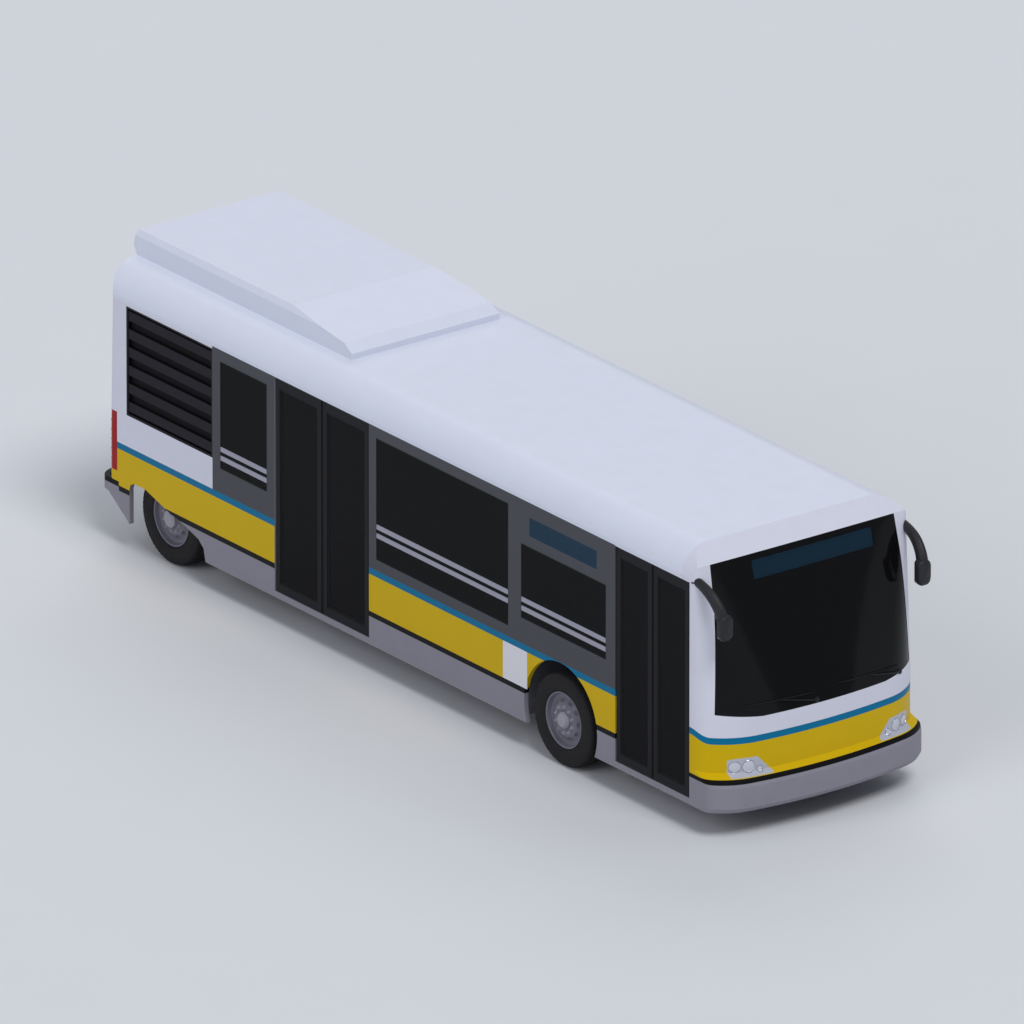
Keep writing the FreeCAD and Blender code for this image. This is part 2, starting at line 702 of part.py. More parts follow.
BOX_WALL = 15
TOWER = (80, 170)
TOWER_LOW = 520
boxes = []
for _, side in SIDES:
    ends = ("front_axle_x - wheel_box_half", "front_axle_x + wheel_box_half")
    outside = block(ends, sided(side, "wheel_box_inner", "inner_half"), ("floor_low", "wheel_box_top"))
    inside = block((f"{ends[0]} + {BOX_WALL}", f"{ends[1]} - {BOX_WALL}"),
                   sided(side, f"wheel_box_inner + {BOX_WALL}", "inner_half + 5"),
                   ("floor_low - 5", f"wheel_box_top - {BOX_WALL}"))
    tower = block((f"front_axle_x - {TOWER[0]}", f"front_axle_x + {TOWER[0]}"),
                  sided(side, f"wheel_box_inner + {BOX_WALL}", f"wheel_box_inner + {BOX_WALL + TOWER[1]}"),
                  (TOWER_LOW, f"wheel_box_top - {BOX_WALL}"))
    boxes.append(joined([less(outside, [inside]), tower]))
piece(group(boxes), "wheel_boxes")

deck = block(("deck_end", "bulkhead_at"), ("-inner_half", "inner_half"), ("deck_top - 40", "deck_top"))
piece(less(deck, [formed(tail_lamp_form(side)) for _, side in SIDES]), "engine_deck")
INNER = hull(value("wall"))
bulkhead_x = (value("bulkhead_at"), value("bulkhead_at") + 30)
bulkhead = INNER.common(slab(bulkhead_x, (-WIDE, WIDE), (value("rear_floor"), HIGH)))
piece(formed(bulkhead), "engine_bulkhead")
piece(block(("bulkhead_at - 1600", "bulkhead_at - 250"), ("-420", "420"), ("deck_top", "deck_top + 880")),
      "engine")

# The low frame is a ladder between the wheels with outriggers to the sides; the rear frame steps up
# over the rear axle.
LOW_RAIL = ("300", "420")
HIGH_RAIL = ("420", "520")
CROSS_WIDTH = 80
POST_WIDTH = 100
CROSS_PLACES = ("step_at - 50", "step_at + 850", "step_at + 1750", "front_axle_x - 2070",
                "front_axle_x - 1170", "front_axle_x + 830", "front_axle_x + 1630")
low_level = ("frame_low", "floor_low")
ladder = []
outriggers = []
for _, side in SIDES:
    ladder.append(block(("bulkhead_at", "front_seam"), sided(side, *LOW_RAIL), low_level))
for place in CROSS_PLACES:
    ends = (place, f"{place} + {CROSS_WIDTH}")
    ladder.append(block(ends, (f"-{LOW_RAIL[0]}", LOW_RAIL[0]), low_level))
    outriggers += [block(ends, sided(side, LOW_RAIL[1], "inner_half"), low_level) for _, side in SIDES]
piece(group(ladder), "underframe")
piece(group(outriggers), "outriggers")

RAIL_DEPTH = 160
rail_high = "deck_top - 40"
rail_low = f"{rail_high} - {RAIL_DEPTH}"
post_ends = (f"bulkhead_at - {POST_WIDTH}", "bulkhead_at")
rear_frame = [block(post_ends, ("-inner_half", "inner_half"), ("frame_low", "floor_low + 60"))]
for _, side in SIDES:
    rear_frame.append(block(("deck_end", "bulkhead_at"), sided(side, *HIGH_RAIL), (rail_low, rail_high)))
    rear_frame.append(block(post_ends, sided(side, *HIGH_RAIL), ("floor_low + 60", rail_low)))
for start in ("deck_end + 100", "rear_axle_x + 305"):
    rear_frame.append(block((start, f"{start} + {POST_WIDTH}"), (f"-{HIGH_RAIL[0]}", HIGH_RAIL[0]),
                            (f"{rail_low} + 60", rail_high)))
piece(group(rear_frame), "rear_frame")

# Tow plates: (hole, from, to, underside).
TOW_PLATES = (
    ("front_tow_at", f"front_axle_x + {1630 + CROSS_WIDTH}", "front_tow_at + 60", "floor_low - tow_plate"),
    ("rear_tow_at", "rear_tow_at - 60", "deck_end + 100", "900"),
)
plates = []
for hole_at, start, end, low in TOW_PLATES:
    plate = block((start, end), ("-60", "60"), (low, f"{low} + tow_plate"))
    plates.append(less(plate, [rod(hole_at, "0", f"{low} - 5", "tow_hole_radius", "tow_plate + 10")]))
piece(group(plates), "tow_plates")


# ---------------------------------------------------------------- axles, knuckles and springs
# Heights of the front axle's parts from the wheel's centre.
FIST = 48
EYE_HALF = 47
LUG_HALF = 97
LUG_GAP = 5
BEAM_DROP = (288, 208)
eye = (f"tyre_radius - {EYE_HALF}", f"tyre_radius + {EYE_HALF}")
across_axle = ("front_axle_x - 50", "front_axle_x + 50")
beam_low, beam_high = (f"tyre_radius - {drop}" for drop in BEAM_DROP)
beam = [block(across_axle, ("-(kingpin_at - 110)", "kingpin_at - 110"), (beam_low, beam_high))]
for _, side in SIDES:
    pin_y = sided(side, "kingpin_at", "kingpin_at")[0]
    beam.append(block(across_axle, sided(side, "kingpin_at - 220", "kingpin_at - 110"), (beam_low, eye[1])))
    beam.append(block(("front_axle_x - 40", "front_axle_x + 40"),
                      sided(side, "kingpin_at - 160", "kingpin_at"), eye))
    beam.append(rod("front_axle_x", pin_y, eye[0], FIST, 2 * EYE_HALF))
    beam.append(rod("front_axle_x", pin_y, f"tyre_radius - {LUG_HALF}", "kingpin_radius", 2 * LUG_HALF))
    beam.append(block(("front_axle_x - 85", "front_axle_x + 85"), sided(side, "520", "680"),
                      (beam_high, f"{beam_high} + 15")))
piece(joined(beam), "front_axle")

KNUCKLE_REACH = 80
SPINDLE_LENGTH = 190
for side_name, side in SIDES:
    pin_y = sided(side, "kingpin_at", "kingpin_at")[0]
    across = (f"front_axle_x - {FIST}", f"front_axle_x + {FIST}")
    lugs = []
    for low, high in ((-LUG_HALF, -EYE_HALF - LUG_GAP), (EYE_HALF + LUG_GAP, LUG_HALF)):
        lugs.append(rod("front_axle_x", pin_y, f"tyre_radius + {low}", FIST, high - low))
        lugs.append(block(across, sided(side, "kingpin_at", f"kingpin_at + {KNUCKLE_REACH}"),
                          (f"tyre_radius + {low}", f"tyre_radius + {high}")))
    lugs.append(block(across, sided(side, "kingpin_at + 56", f"kingpin_at + {KNUCKLE_REACH}"),
                      (f"tyre_radius - {LUG_HALF}", f"tyre_radius + {LUG_HALF}")))
    root = sided(side, "kingpin_at + 70", f"kingpin_at + 70 + {SPINDLE_LENGTH}")[0]
    lugs.append(rod("front_axle_x", root, "tyre_radius", "spindle_radius", SPINDLE_LENGTH, "y"))
    bore = rod("front_axle_x", pin_y, f"tyre_radius - {LUG_HALF + 5}", "kingpin_radius + bearing_clearance",
               2 * LUG_HALF + 10)
    piece(less(joined(lugs), [bore]), f"{side_name}_knuckle")

SPRING_Y = 470
TUBE_REACH = 92.5
SEAT_RISE = 67
seat_top = f"tyre_radius + {SEAT_RISE + 35}"
tube_end = f"(rear_tyre_at + {TUBE_REACH})"
housing = [rod("rear_axle_x", f"-{tube_end}", "tyre_radius", "rear_spindle_radius", f"2 * {tube_end}", "y"),
           rod("rear_axle_x", "-560", "tyre_radius", "85", "1120", "y"),
           rod("rear_axle_x", "-150", "tyre_radius", "210", "300", "y")]
for _, side in SIDES:
    housing.append(block(("rear_axle_x - 460", "rear_axle_x + 460"), sided(side, "410", "530"),
                         (f"tyre_radius + {SEAT_RISE}", seat_top)))
piece(joined(housing), "rear_axle")

bellows = []
front_seat = f"{beam_high} + 15"
for _, side in SIDES:
    spring_y = sided(side, "600", "600")[0]
    bellows.append(rod("front_axle_x", spring_y, front_seat, "70", f"{TOWER_LOW} - ({front_seat})"))
    for way in (-360, 360):
        spring_y = sided(side, SPRING_Y, SPRING_Y)[0]
        bellows.append(rod(f"rear_axle_x + {way}", spring_y, seat_top, "90", f"{rail_low} - ({seat_top})"))
piece(group(bellows), "air_springs")


# ---------------------------------------------------------------- wheels
SHOULDER = 38


def tyre(x, centre):
    """A tyre as a ring with rounded shoulders, its middle plane at a Y place."""
    low = f"{centre} - tyre_width / 2"
    outside = rod(x, low, "tyre_radius", "tyre_radius", "tyre_width", "y")
    rounded = doc.addObject("Part::Fillet", "Rounded")
    rounded.Base = outside
    doc.recompute()
    rims = [index for index, edge in enumerate(outside.Shape.Edges, start=1)
            if len(edge.Vertexes) == 1]
    rounded.Edges = [(index, SHOULDER, SHOULDER) for index in rims]
    hole = rod(x, f"{low} - 5", "tyre_radius", "rim_radius", "tyre_width + 10", "y")
    return less(rounded, [hole])


def rim(x, centre, side, disc, spindle, cap):
    """A rim with its disc and bored hub; disc and cap are distances outwards from the middle plane."""
    outwards = f"{centre} + {side} * "
    half = "(tyre_width / 2 - 18)"
    inner = "rim_radius - rim_wall"

    def ring(radius, hole, start, end):
        low, high = (start, end) if side > 0 else (end, start)
        base = f"{outwards}({low})"
        length = f"({end}) - ({start})"
        solid = rod(x, base, "tyre_radius", radius, length, "y")
        if hole is None:
            return solid
        return less(solid, [rod(x, f"{base} - 1", "tyre_radius", hole, f"{length} + 2", "y")])

    bore = f"{spindle} + bearing_clearance"
    parts = [ring("rim_radius", inner, f"-{half}", half), ring(f"{inner} + 1", bore, disc, f"{disc} + 14"),
             ring(f"{spindle} + 45", bore, f"{disc} - 70", f"{disc} + 20")]
    if cap is not None:
        parts.append(ring("75", None, f"{disc} + 20", cap))
    return joined(parts)


for side_name, side in SIDES:
    front = f"{side} * front_tyre_at"
    outer = f"{side} * rear_tyre_at"
    twin = f"{side} * inner_tyre_at"
    front_cap = "tyre_width / 2 + hub_cap_out"
    piece(rim("front_axle_x", front, side, "85", "spindle_radius", front_cap), f"front_{side_name}_rim")
    piece(tyre("front_axle_x", front), f"front_{side_name}_tyre")
    pair = [rim("rear_axle_x", outer, side, "85", "rear_spindle_radius", front_cap),
            rim("rear_axle_x", twin, side, "60", "rear_spindle_radius", None)]
    piece(group(pair), f"rear_{side_name}_rims")
    piece(group([tyre("rear_axle_x", outer), tyre("rear_axle_x", twin)]), f"rear_{side_name}_tyres")


# ---------------------------------------------------------------- mirrors
ARM_RADII = (30, 44, 62)
HEAD = (110, 150, 290)


def mirror(side):
    """A mirror: a horn curving forward and down from the roof corner, and its head."""
    seam = value("front_seam")
    out = value("half_width")
    stops = [Vector(seam - 71, side * (out - 50), 2600), Vector(seam + 330, side * (out - 70), 2520),
             Vector(seam + 480, side * (out - 100), 2260)]
    arc = Part.Arc(*stops)
    first, last = arc.FirstParameter, arc.LastParameter
    turns = (first, arc.parameter(stops[1]), last)
    rings = []
    for turn, radius in zip(turns, ARM_RADII):
        circle = Part.Circle(arc.value(turn), arc.tangent(turn)[0], radius)
        rings.append(Part.Wire([circle.toShape()]))
    arm = Part.makeLoft(rings, True, False)
    depth, across, tall = HEAD
    corner = Vector(stops[2].x - depth / 2, stops[2].y - across / 2, stops[2].z - tall + 70)
    head = Part.makeBox(depth, across, tall, corner)
    head = head.makeFillet(35, head.Edges)
    return arm.fuse(head).cut(OUTER)


piece(formed(Part.makeCompound([mirror(side) for _, side in SIDES])), "mirrors")


# ---------------------------------------------------------------- cabin fittings
DASH_FROM = value("front_seam") - 46
DASH_TOP = value("front_sill") - 15
dash_form = INNER.common(slab((DASH_FROM, FAR), (-WIDE, WIDE), (700, DASH_TOP)))
dash_leg = slab((DASH_FROM, value("front_seam")), (-1000, 1200), (value("floor_top"), 700))
piece(formed(dash_form.cut(screen_opening()).fuse(dash_leg)), "dashboard")

SEAT_SIZE = (430, 440, 90)


def seat(x, y, floor, height, facing, wide):
    """A seat from its front edge: pedestal, cushion and upright back, facing 1 or -1 along X."""
    depth, _, thick = SEAT_SIZE
    front, back = (x, x - depth) if facing > 0 else (x, x + depth)
    low, high = sorted((front, back))
    cushion = slab((low, high), (y - wide / 2, y + wide / 2), (floor + height, floor + height + thick))
    rest = sorted((back, back - facing * 70))
    upright = slab(rest, (y - wide / 2, y + wide / 2), (floor + height, floor + height + 650))
    middle = (low + high) / 2
    leg = slab((middle - 60, middle + 60), (y - 60, y + 60), (floor, floor + height))
    return cushion.fuse([upright, leg])


SEAT_WIDTH = 880
WINDOW_SEAT = value("inner_half") - 20 - SEAT_WIDTH / 2
low_floor = value("floor_top")
high_floor = value("rear_floor")
behind_box = value("front_axle_x") - value("wheel_box_half")
# Passenger seat pairs: (front edge, side, floor height).
PAIRS = [(behind_box - back, side, low_floor) for side in (-1, 1) for back in (80, 810, 1540)]
PAIRS += [(behind_box - back, 1, low_floor) for back in (2540, 3270)]
PAIRS += [(value("step_at") - 310, side, high_floor) for side in (-1, 1)]
benches = [seat(x, side * WINDOW_SEAT, floor, 350, 1, SEAT_WIDTH) for x, side, floor in PAIRS]
piece(formed(Part.makeCompound(benches)), "passenger_seats")

DRIVER_Y = 750
seat_front = value("front_seam") - 526
piece(formed(seat(seat_front, DRIVER_Y, low_floor, 420, 1, 480)), "driver_seat")
hub = Vector(seat_front + 330, DRIVER_Y, 1130)
lean = Vector(-0.55, 0, 0.84)
ring = Part.makeTorus(225, 14, hub, lean)
column = Part.makeCylinder(24, 260, hub, lean * -1)
spokes = Part.makeCylinder(214, 12, hub, lean)
spokes = spokes.common(slab((hub.x - 300, hub.x + 300), (DRIVER_Y - 30, DRIVER_Y + 30), (800, 1500)))
piece(formed(ring.fuse([column, spokes]).cut(dash_form)), "steering_wheel")

POLE = 17
aisle = WINDOW_SEAT - SEAT_WIDTH / 2
door_end = value("rear_door_to")
posts = [(value("rear_door_from") + 149, 300), (door_end + 167, aisle - 20), (door_end + 167, 20 - aisle),
         (behind_box - 1120, 25 - aisle), (behind_box - 1120, aisle - 25), (behind_box - 10, -420),
         (behind_box - 10, 420), (value("front_door_from") - 91, -450), (value("front_door_from") - 91, 450)]
poles = [Part.makeCylinder(POLE, value("roof_height") - value("wall") - low_floor, Vector(x, y, low_floor))
         for x, y in posts]
piece(formed(Part.makeCompound(poles)), "grab_poles")


# ---------------------------------------------------------------- checks and export
doc.recompute()
faults = [f"{obj.Name} ({obj.Label}): {obj.State}" for obj in doc.Objects
          if "Invalid" in obj.State or "Error" in obj.State]
for obj in pieces:
    if obj.Shape.isNull() or not obj.Shape.isValid() or not obj.Shape.Solids:
        faults.append(f"{obj.Label}: empty or invalid shape")
if faults:
    raise RuntimeError("; ".join(faults))

os.makedirs("parts", exist_ok=True)
for obj in pieces:
    obj.Shape.exportStep(f"parts/{obj.Label}.step")
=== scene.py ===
import json
import math

import bmesh
import bpy
import numpy as np
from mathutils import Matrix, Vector
from mathutils.bvhtree import BVHTree


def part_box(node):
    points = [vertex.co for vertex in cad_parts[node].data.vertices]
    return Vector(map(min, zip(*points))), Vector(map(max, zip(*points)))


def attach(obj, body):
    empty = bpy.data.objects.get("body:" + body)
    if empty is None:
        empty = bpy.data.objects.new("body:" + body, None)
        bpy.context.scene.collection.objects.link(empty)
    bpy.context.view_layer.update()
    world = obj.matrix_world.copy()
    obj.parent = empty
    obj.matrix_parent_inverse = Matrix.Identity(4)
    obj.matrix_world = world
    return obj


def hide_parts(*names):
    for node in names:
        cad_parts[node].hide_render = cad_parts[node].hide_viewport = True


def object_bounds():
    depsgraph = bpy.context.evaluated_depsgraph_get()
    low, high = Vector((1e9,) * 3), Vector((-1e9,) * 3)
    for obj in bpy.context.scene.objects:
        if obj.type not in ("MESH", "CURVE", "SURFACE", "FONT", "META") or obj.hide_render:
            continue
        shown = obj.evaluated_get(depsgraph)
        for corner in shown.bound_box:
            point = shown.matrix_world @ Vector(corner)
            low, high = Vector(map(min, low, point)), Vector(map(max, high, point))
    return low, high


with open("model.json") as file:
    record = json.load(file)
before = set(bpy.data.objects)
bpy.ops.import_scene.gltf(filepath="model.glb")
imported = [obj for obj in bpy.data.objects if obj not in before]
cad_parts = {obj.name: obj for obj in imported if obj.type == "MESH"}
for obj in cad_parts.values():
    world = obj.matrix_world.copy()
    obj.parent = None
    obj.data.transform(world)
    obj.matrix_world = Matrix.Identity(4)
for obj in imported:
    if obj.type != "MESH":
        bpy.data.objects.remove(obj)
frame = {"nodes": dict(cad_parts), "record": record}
CAD_BOX = [list(corner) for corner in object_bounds()]


# ------------------------------------------------------------------ colour and node helpers
def linear(code):
    """A hex sRGB colour as linear red, green, blue and an alpha of one."""
    parts = [int(code[i:i + 2], 16) / 255 for i in (1, 3, 5)]
    curve = [c / 12.92 if c <= 0.04045 else ((c + 0.055) / 1.055) ** 2.4 for c in parts]
    return (*curve, 1.0)


def plug(tree, node, links):
    """Fill a node's inputs, by name or number, each from a value, a socket or a whole node."""
    shown = [socket for socket in node.inputs if socket.enabled]
    for name, source in links.items():
        socket = shown[name] if isinstance(name, int) else next(s for s in shown if s.name == name)
        if isinstance(source, bpy.types.Node):
            source = next(s for s in source.outputs if s.enabled)
        if isinstance(source, bpy.types.NodeSocket):
            tree.links.new(source, socket)
        else:
            socket.default_value = source


def add(tree, kind, links, **settings):
    """Add one shader node with its settings and its links."""
    node = tree.nodes.new("ShaderNode" + kind)
    for name, setting in settings.items():
        setattr(node, name, setting)
    plug(tree, node, links)
    return node


def material(name, **settings):
    """A new node material: its tree, its shader and the object coordinates."""
    made = bpy.data.materials.new(name)
    made.use_nodes = True
    tree = made.node_tree
    shader = tree.nodes["Principled BSDF"]
    plug(tree, shader, {socket.replace("_", " "): setting for socket, setting in settings.items()})
    place = add(tree, "TexCoord", {}).outputs["Object"]
    return made, tree, shader, place


def between(tree, value, low, high):
    """One where a coordinate lies inside a range, and nought outside it."""
    above = add(tree, "Math", {0: value, 1: low}, operation="GREATER_THAN")
    below = add(tree, "Math", {0: value, 1: high}, operation="LESS_THAN")
    return add(tree, "Math", {0: above, 1: below}, operation="MULTIPLY")


def mottled(tree, place, colour, size_mm, detail, spread):
    """A colour made a little lighter and darker in soft patches of a real size."""
    dark = [c * (1 - spread) for c in colour[:3]] + [1.0]
    light = [min(1.0, c * (1 + spread)) for c in colour[:3]] + [1.0]
    patches = add(tree, "TexNoise", {"Vector": place, "Scale": 1000 / size_mm, "Detail": detail})
    return add(tree, "Mix", {"Factor": patches, "A": dark, "B": light}, data_type="RGBA")


def grained(tree, place, size_mm, detail, depth_mm):
    """A surface raised and sunk in lumps of a real size and depth."""
    lumps = add(tree, "TexNoise", {"Vector": place, "Scale": 1000 / size_mm, "Detail": detail})
    return add(tree, "Bump", {"Height": lumps, "Distance": depth_mm / 1000})


# ------------------------------------------------------------------ places worked out from the frame
def span(node):
    """A node's lowest and highest corner as two arrays."""
    low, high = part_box(node)
    return np.array(low), np.array(high)


HALF = CAD_BOX[1][1]
WALL_LOW, WALL_HIGH = span("right_wall")
SCREEN_LOW, SCREEN_HIGH = span("windscreen")
LOUVRE_HIGH = span("side_louvres")[1]
SLAT_DEPTH = 0.025
SKIRT_HIGH = span("side_skirts")[1]
FRONT_SEAM = WALL_HIGH[0]
REAR_SEAM = WALL_LOW[0]
DOOR_FRONT = span("front_door_rear_leaf")[0][0] - 0.006
SIGN_LOW = np.array((FRONT_SEAM, -0.624, 2.492))
SIGN_HIGH = np.array((SCREEN_HIGH[0], 0.826, 2.680))

# Livery bands on the sides, as heights above the ground.
BLACK_TOP = SKIRT_HIGH[2] + 0.055
YELLOW_TOP = 1.020
TEAL_TOP = 1.088
# The black line round the nose, from low to high, and the foot of the one round the tail.
FRONT_LINE = (0.574, 0.616)
REAR_LINE_LOW = 0.618
# The bands dip by this much round the front corners.
DIP = 0.068

# Colours as sRGB hex.
WHITE = linear("#DCDDEA")
YELLOW = linear("#D6B306")
TEAL = linear("#00729C")
SURROUND = linear("#4F5056")
LINE_BLACK = linear("#0E0D0E")
GREY = linear("#8F8D98")
TINT = linear("#101012")
LINING_GREY = linear("#8B8C93")
# A wave texture at scale one has about this many bands, light and dark, in a metre.
WAVE_BANDS = 6.28


# ------------------------------------------------------------------ materials
def orange_peel(tree, place):
    """Sprayed paint's fine ripple, drawn at 6 mm so that it shows, over slow waves in the panel."""
    peel = add(tree, "TexNoise", {"Vector": place, "Scale": 1000 / 6, "Detail": 2.0})
    wave = add(tree, "TexNoise", {"Vector": place, "Scale": 1000 / 420, "Detail": 1.0})
    both = add(tree, "Math", {0: wave, 1: 6.0, 2: peel}, operation="MULTIPLY_ADD")
    return add(tree, "Bump", {"Height": both, "Distance": 0.05 / 1000})


def inside_lining(tree, place, colour):
    """Cabin lining on every face that looks at the middle of the bus, and the outer colour elsewhere.

    The face's direction is turned into the piece's own frame first, so an open door keeps its colours. It
    counts for less along X, because the bus is long.
    """
    facing = add(tree, "NewGeometry", {}).outputs["True Normal"]
    own = add(tree, "VectorTransform", {0: facing}, vector_type="NORMAL", convert_from="WORLD",
              convert_to="OBJECT")
    scaled = add(tree, "VectorMath", {0: own, 1: (0.3, 1.0, 1.0)}, operation="MULTIPLY")
    outwards = add(tree, "VectorMath", {0: place, 1: (0.0, 0.0, 1.5)}, operation="SUBTRACT")
    dot = add(tree, "VectorMath", {0: scaled, 1: outwards}, operation="DOT_PRODUCT")
    inside = add(tree, "Math", {0: dot, 1: 0.0}, operation="LESS_THAN")
    return add(tree, "Mix", {"Factor": inside, "A": colour, "B": LINING_GREY}, data_type="RGBA")


def livery_paint():
    """Two-pack coach enamel, sprayed band by band: white with yellow and teal, black and dark grey.

    It gives flat, even colours with crisp edges and a soft highlight. The bands dip round the front corners.
    """
    made, tree, shader, place = material("livery_coach_enamel", Roughness=0.4, Specular_IOR_Level=0.1,
                                         Coat_Weight=0.06, Coat_Roughness=0.12)
    parts = add(tree, "SeparateXYZ", {0: place}).outputs
    x, z = parts["X"], parts["Z"]
    corner = FRONT_SEAM + 0.02
    turned = add(tree, "MapRange", {"Value": x, "From Min": corner, "From Max": corner + 0.2},
                 interpolation_type="SMOOTHSTEP")
    height = add(tree, "Math", {0: turned, 1: DIP, 2: z}, operation="MULTIPLY_ADD")
    beside = between(tree, x, LOUVRE_HIGH[0], DOOR_FRONT)
    upright = between(tree, z, TEAL_TOP, WALL_HIGH[2] + 0.001)
    windows = add(tree, "Math", {0: beside, 1: upright}, operation="MULTIPLY")
    on_nose = add(tree, "Math", {0: x, 1: FRONT_SEAM}, operation="GREATER_THAN")
    line_top = add(tree, "Math", {0: on_nose, 1: FRONT_LINE[1] - BLACK_TOP, 2: BLACK_TOP},
                   operation="MULTIPLY_ADD")
    line = add(tree, "Math", {0: z, 1: line_top}, operation="LESS_THAN")
    colour = WHITE
    for mask, band in ((between(tree, height, YELLOW_TOP, TEAL_TOP), TEAL),
                       (between(tree, height, 0.0, YELLOW_TOP), YELLOW),
                       (windows, SURROUND), (line, LINE_BLACK)):
        colour = add(tree, "Mix", {"Factor": mask, "A": colour, "B": band}, data_type="RGBA")
    dust = add(tree, "TexNoise", {"Vector": place, "Scale": 1000 / 260, "Detail": 4.0})
    tone = add(tree, "MapRange", {"Value": dust, "To Min": 0.965, "To Max": 1.03})
    colour = add(tree, "VectorMath", {0: colour, 1: tone}, operation="MULTIPLY")
    plug(tree, shader, {"Base Color": inside_lining(tree, place, colour), "Normal": orange_peel(tree, place)})
    return made


def enamel(name, code, roughness=0.38, lacquer=0.06, lined=False):
    """Sprayed enamel in one colour: even, with a soft highlight; it may be lined inside as a cabin is."""
    made, tree, shader, place = material(name, Roughness=roughness, Specular_IOR_Level=0.1,
                                         Coat_Weight=lacquer, Coat_Roughness=0.12)
    colour = mottled(tree, place, linear(code), 260, 4.0, 0.03)
    if lined:
        colour = inside_lining(tree, place, colour)
    plug(tree, shader, {"Base Color": colour, "Normal": orange_peel(tree, place)})
    return made


def moulded(name, code, grain_mm=2.0, roughness=0.55):
    """Plastic or rubber from a grained mould: matt, with a leathery grain drawn coarse enough to show."""
    made, tree, shader, place = material(name, Roughness=roughness, Specular_IOR_Level=0.25)
    plug(tree, shader, {"Base Color": mottled(tree, place, linear(code), 190, 3.0, 0.07),
                        "Normal": grained(tree, place, grain_mm, 3.0, 0.12)})
    return made


def bumper_plastic():
    """Grained polypropylene, matt grey, with a painted black line along its top at the nose and tail."""
    made, tree, shader, place = material("bumper_moulded_plastic", Roughness=0.5, Specular_IOR_Level=0.12)
    parts = add(tree, "SeparateXYZ", {0: place}).outputs
    x, z = parts["X"], parts["Z"]
    colour = mottled(tree, place, GREY, 190, 3.0, 0.05)
    for side, seam, line_low in (("GREATER_THAN", FRONT_SEAM, FRONT_LINE[0]),
                                 ("LESS_THAN", REAR_SEAM, REAR_LINE_LOW)):
        end = add(tree, "Math", {0: x, 1: seam}, operation=side)
        above = add(tree, "Math", {0: z, 1: line_low}, operation="GREATER_THAN")
        line = add(tree, "Math", {0: end, 1: above}, operation="MULTIPLY")
        colour = add(tree, "Mix", {"Factor": line, "A": colour, "B": LINE_BLACK}, data_type="RGBA")
    plug(tree, shader, {"Base Color": colour, "Normal": grained(tree, place, 2.5, 3.0, 0.12)})
    return made


def tinted_glass(name, alpha, level, sign=False):
    """Body-tinted glass: nearly black and smooth, with a faint roller wave; it may be clear over the sign."""
    made, tree, shader, place = material(name, Roughness=0.05, Specular_IOR_Level=level, Base_Color=TINT,
                                         Alpha=alpha)
    if sign:
        parts = add(tree, "SeparateXYZ", {0: place}).outputs
        across = between(tree, parts["Y"], SIGN_LOW[1], SIGN_HIGH[1])
        upright = between(tree, parts["Z"], SIGN_LOW[2], SIGN_HIGH[2])
        window = add(tree, "Math", {0: across, 1: upright}, operation="MULTIPLY")
        clear = add(tree, "Math", {0: window, 1: 0.14 - alpha, 2: alpha}, operation="MULTIPLY_ADD")
        plug(tree, shader, {"Alpha": clear})
    plug(tree, shader, {"Normal": grained(tree, place, 700, 1.0, 0.4)})
    return made


def chassis_metal(name, code):
    """Cast iron or welded steel under chassis paint: dull, patchy and rough to the touch."""
    made, tree, shader, place = material(name, Roughness=0.6, Metallic=0.4)
    plug(tree, shader, {"Base Color": mottled(tree, place, linear(code), 60, 4.0, 0.2),
                        "Normal": grained(tree, place, 3, 4.0, 0.25)})
    return made


def tyre_rubber():
    """Carbon-black rubber, vulcanised in a mould: dull black with a dusty bloom."""
    made, tree, shader, place = material("tyre_rubber", Roughness=0.82, Specular_IOR_Level=0.25)
    plug(tree, shader, {"Base Color": mottled(tree, place, linear("#252426"), 45, 4.0, 0.25),
                        "Normal": grained(tree, place, 2, 3.0, 0.2)})
    return made


def woven_moquette():
    """Wool moquette: a soft blue pile in ribs 4 mm wide, with small darker flecks 22 mm apart."""
    made, tree, shader, place = material("seat_wool_moquette", Roughness=0.9, Sheen_Weight=0.3)
    weave = add(tree, "TexWave", {"Vector": place, "Scale": 1000 / 4 / WAVE_BANDS, "Distortion": 1.0})
    fleck = add(tree, "TexVoronoi", {"Vector": place, "Scale": 1000 / 22})
    spots = add(tree, "Math", {0: fleck, 1: 0.22}, operation="LESS_THAN")
    colour = add(tree, "Mix", {"Factor": spots, "A": linear("#33507A"), "B": linear("#18243A")},
                 data_type="RGBA")
    pile = add(tree, "Bump", {"Height": weave.outputs["Fac"], "Distance": 0.4 / 1000})
    plug(tree, shader, {"Base Color": colour, "Normal": pile})
    return made


def bright_metal(name, code, roughness=0.3):
    """Polished or brushed metal: clear reflections broken by scratches drawn at 1.5 mm so that they show."""
    made, tree, shader, place = material(name, Roughness=roughness, Metallic=1.0)
    plug(tree, shader, {"Base Color": mottled(tree, place, linear(code), 1.5, 4.0, 0.08),
                        "Normal": grained(tree, place, 1.5, 4.0, 0.03)})
    return made


def louvre_enamel():
    """Dark grey enamel on the slats, and painted shade, nearly black, on every face set back behind the
    slats' fronts, so that the louvres read as bands.
    """
    made, tree, shader, place = material("louvre_enamel_and_painted_shade", Roughness=0.6, Specular_IOR_Level=0.1)
    across = add(tree, "SeparateXYZ", {0: place}).outputs["Y"]
    off = add(tree, "Math", {0: across}, operation="ABSOLUTE")
    behind = add(tree, "Math", {0: off, 1: LOUVRE_HIGH[1] - SLAT_DEPTH / 2}, operation="LESS_THAN")
    slats = mottled(tree, place, linear("#28262C"), 190, 3.0, 0.07)
    # Painted shade: this near black colours every face set back behind the slats' fronts, as the mask above
    # picks them out.
    mesh = linear("#0A0A0C")
    colour = add(tree, "Mix", {"Factor": behind, "A": slats, "B": mesh}, data_type="RGBA")
    plug(tree, shader, {"Base Color": colour, "Normal": orange_peel(tree, place)})
    return made


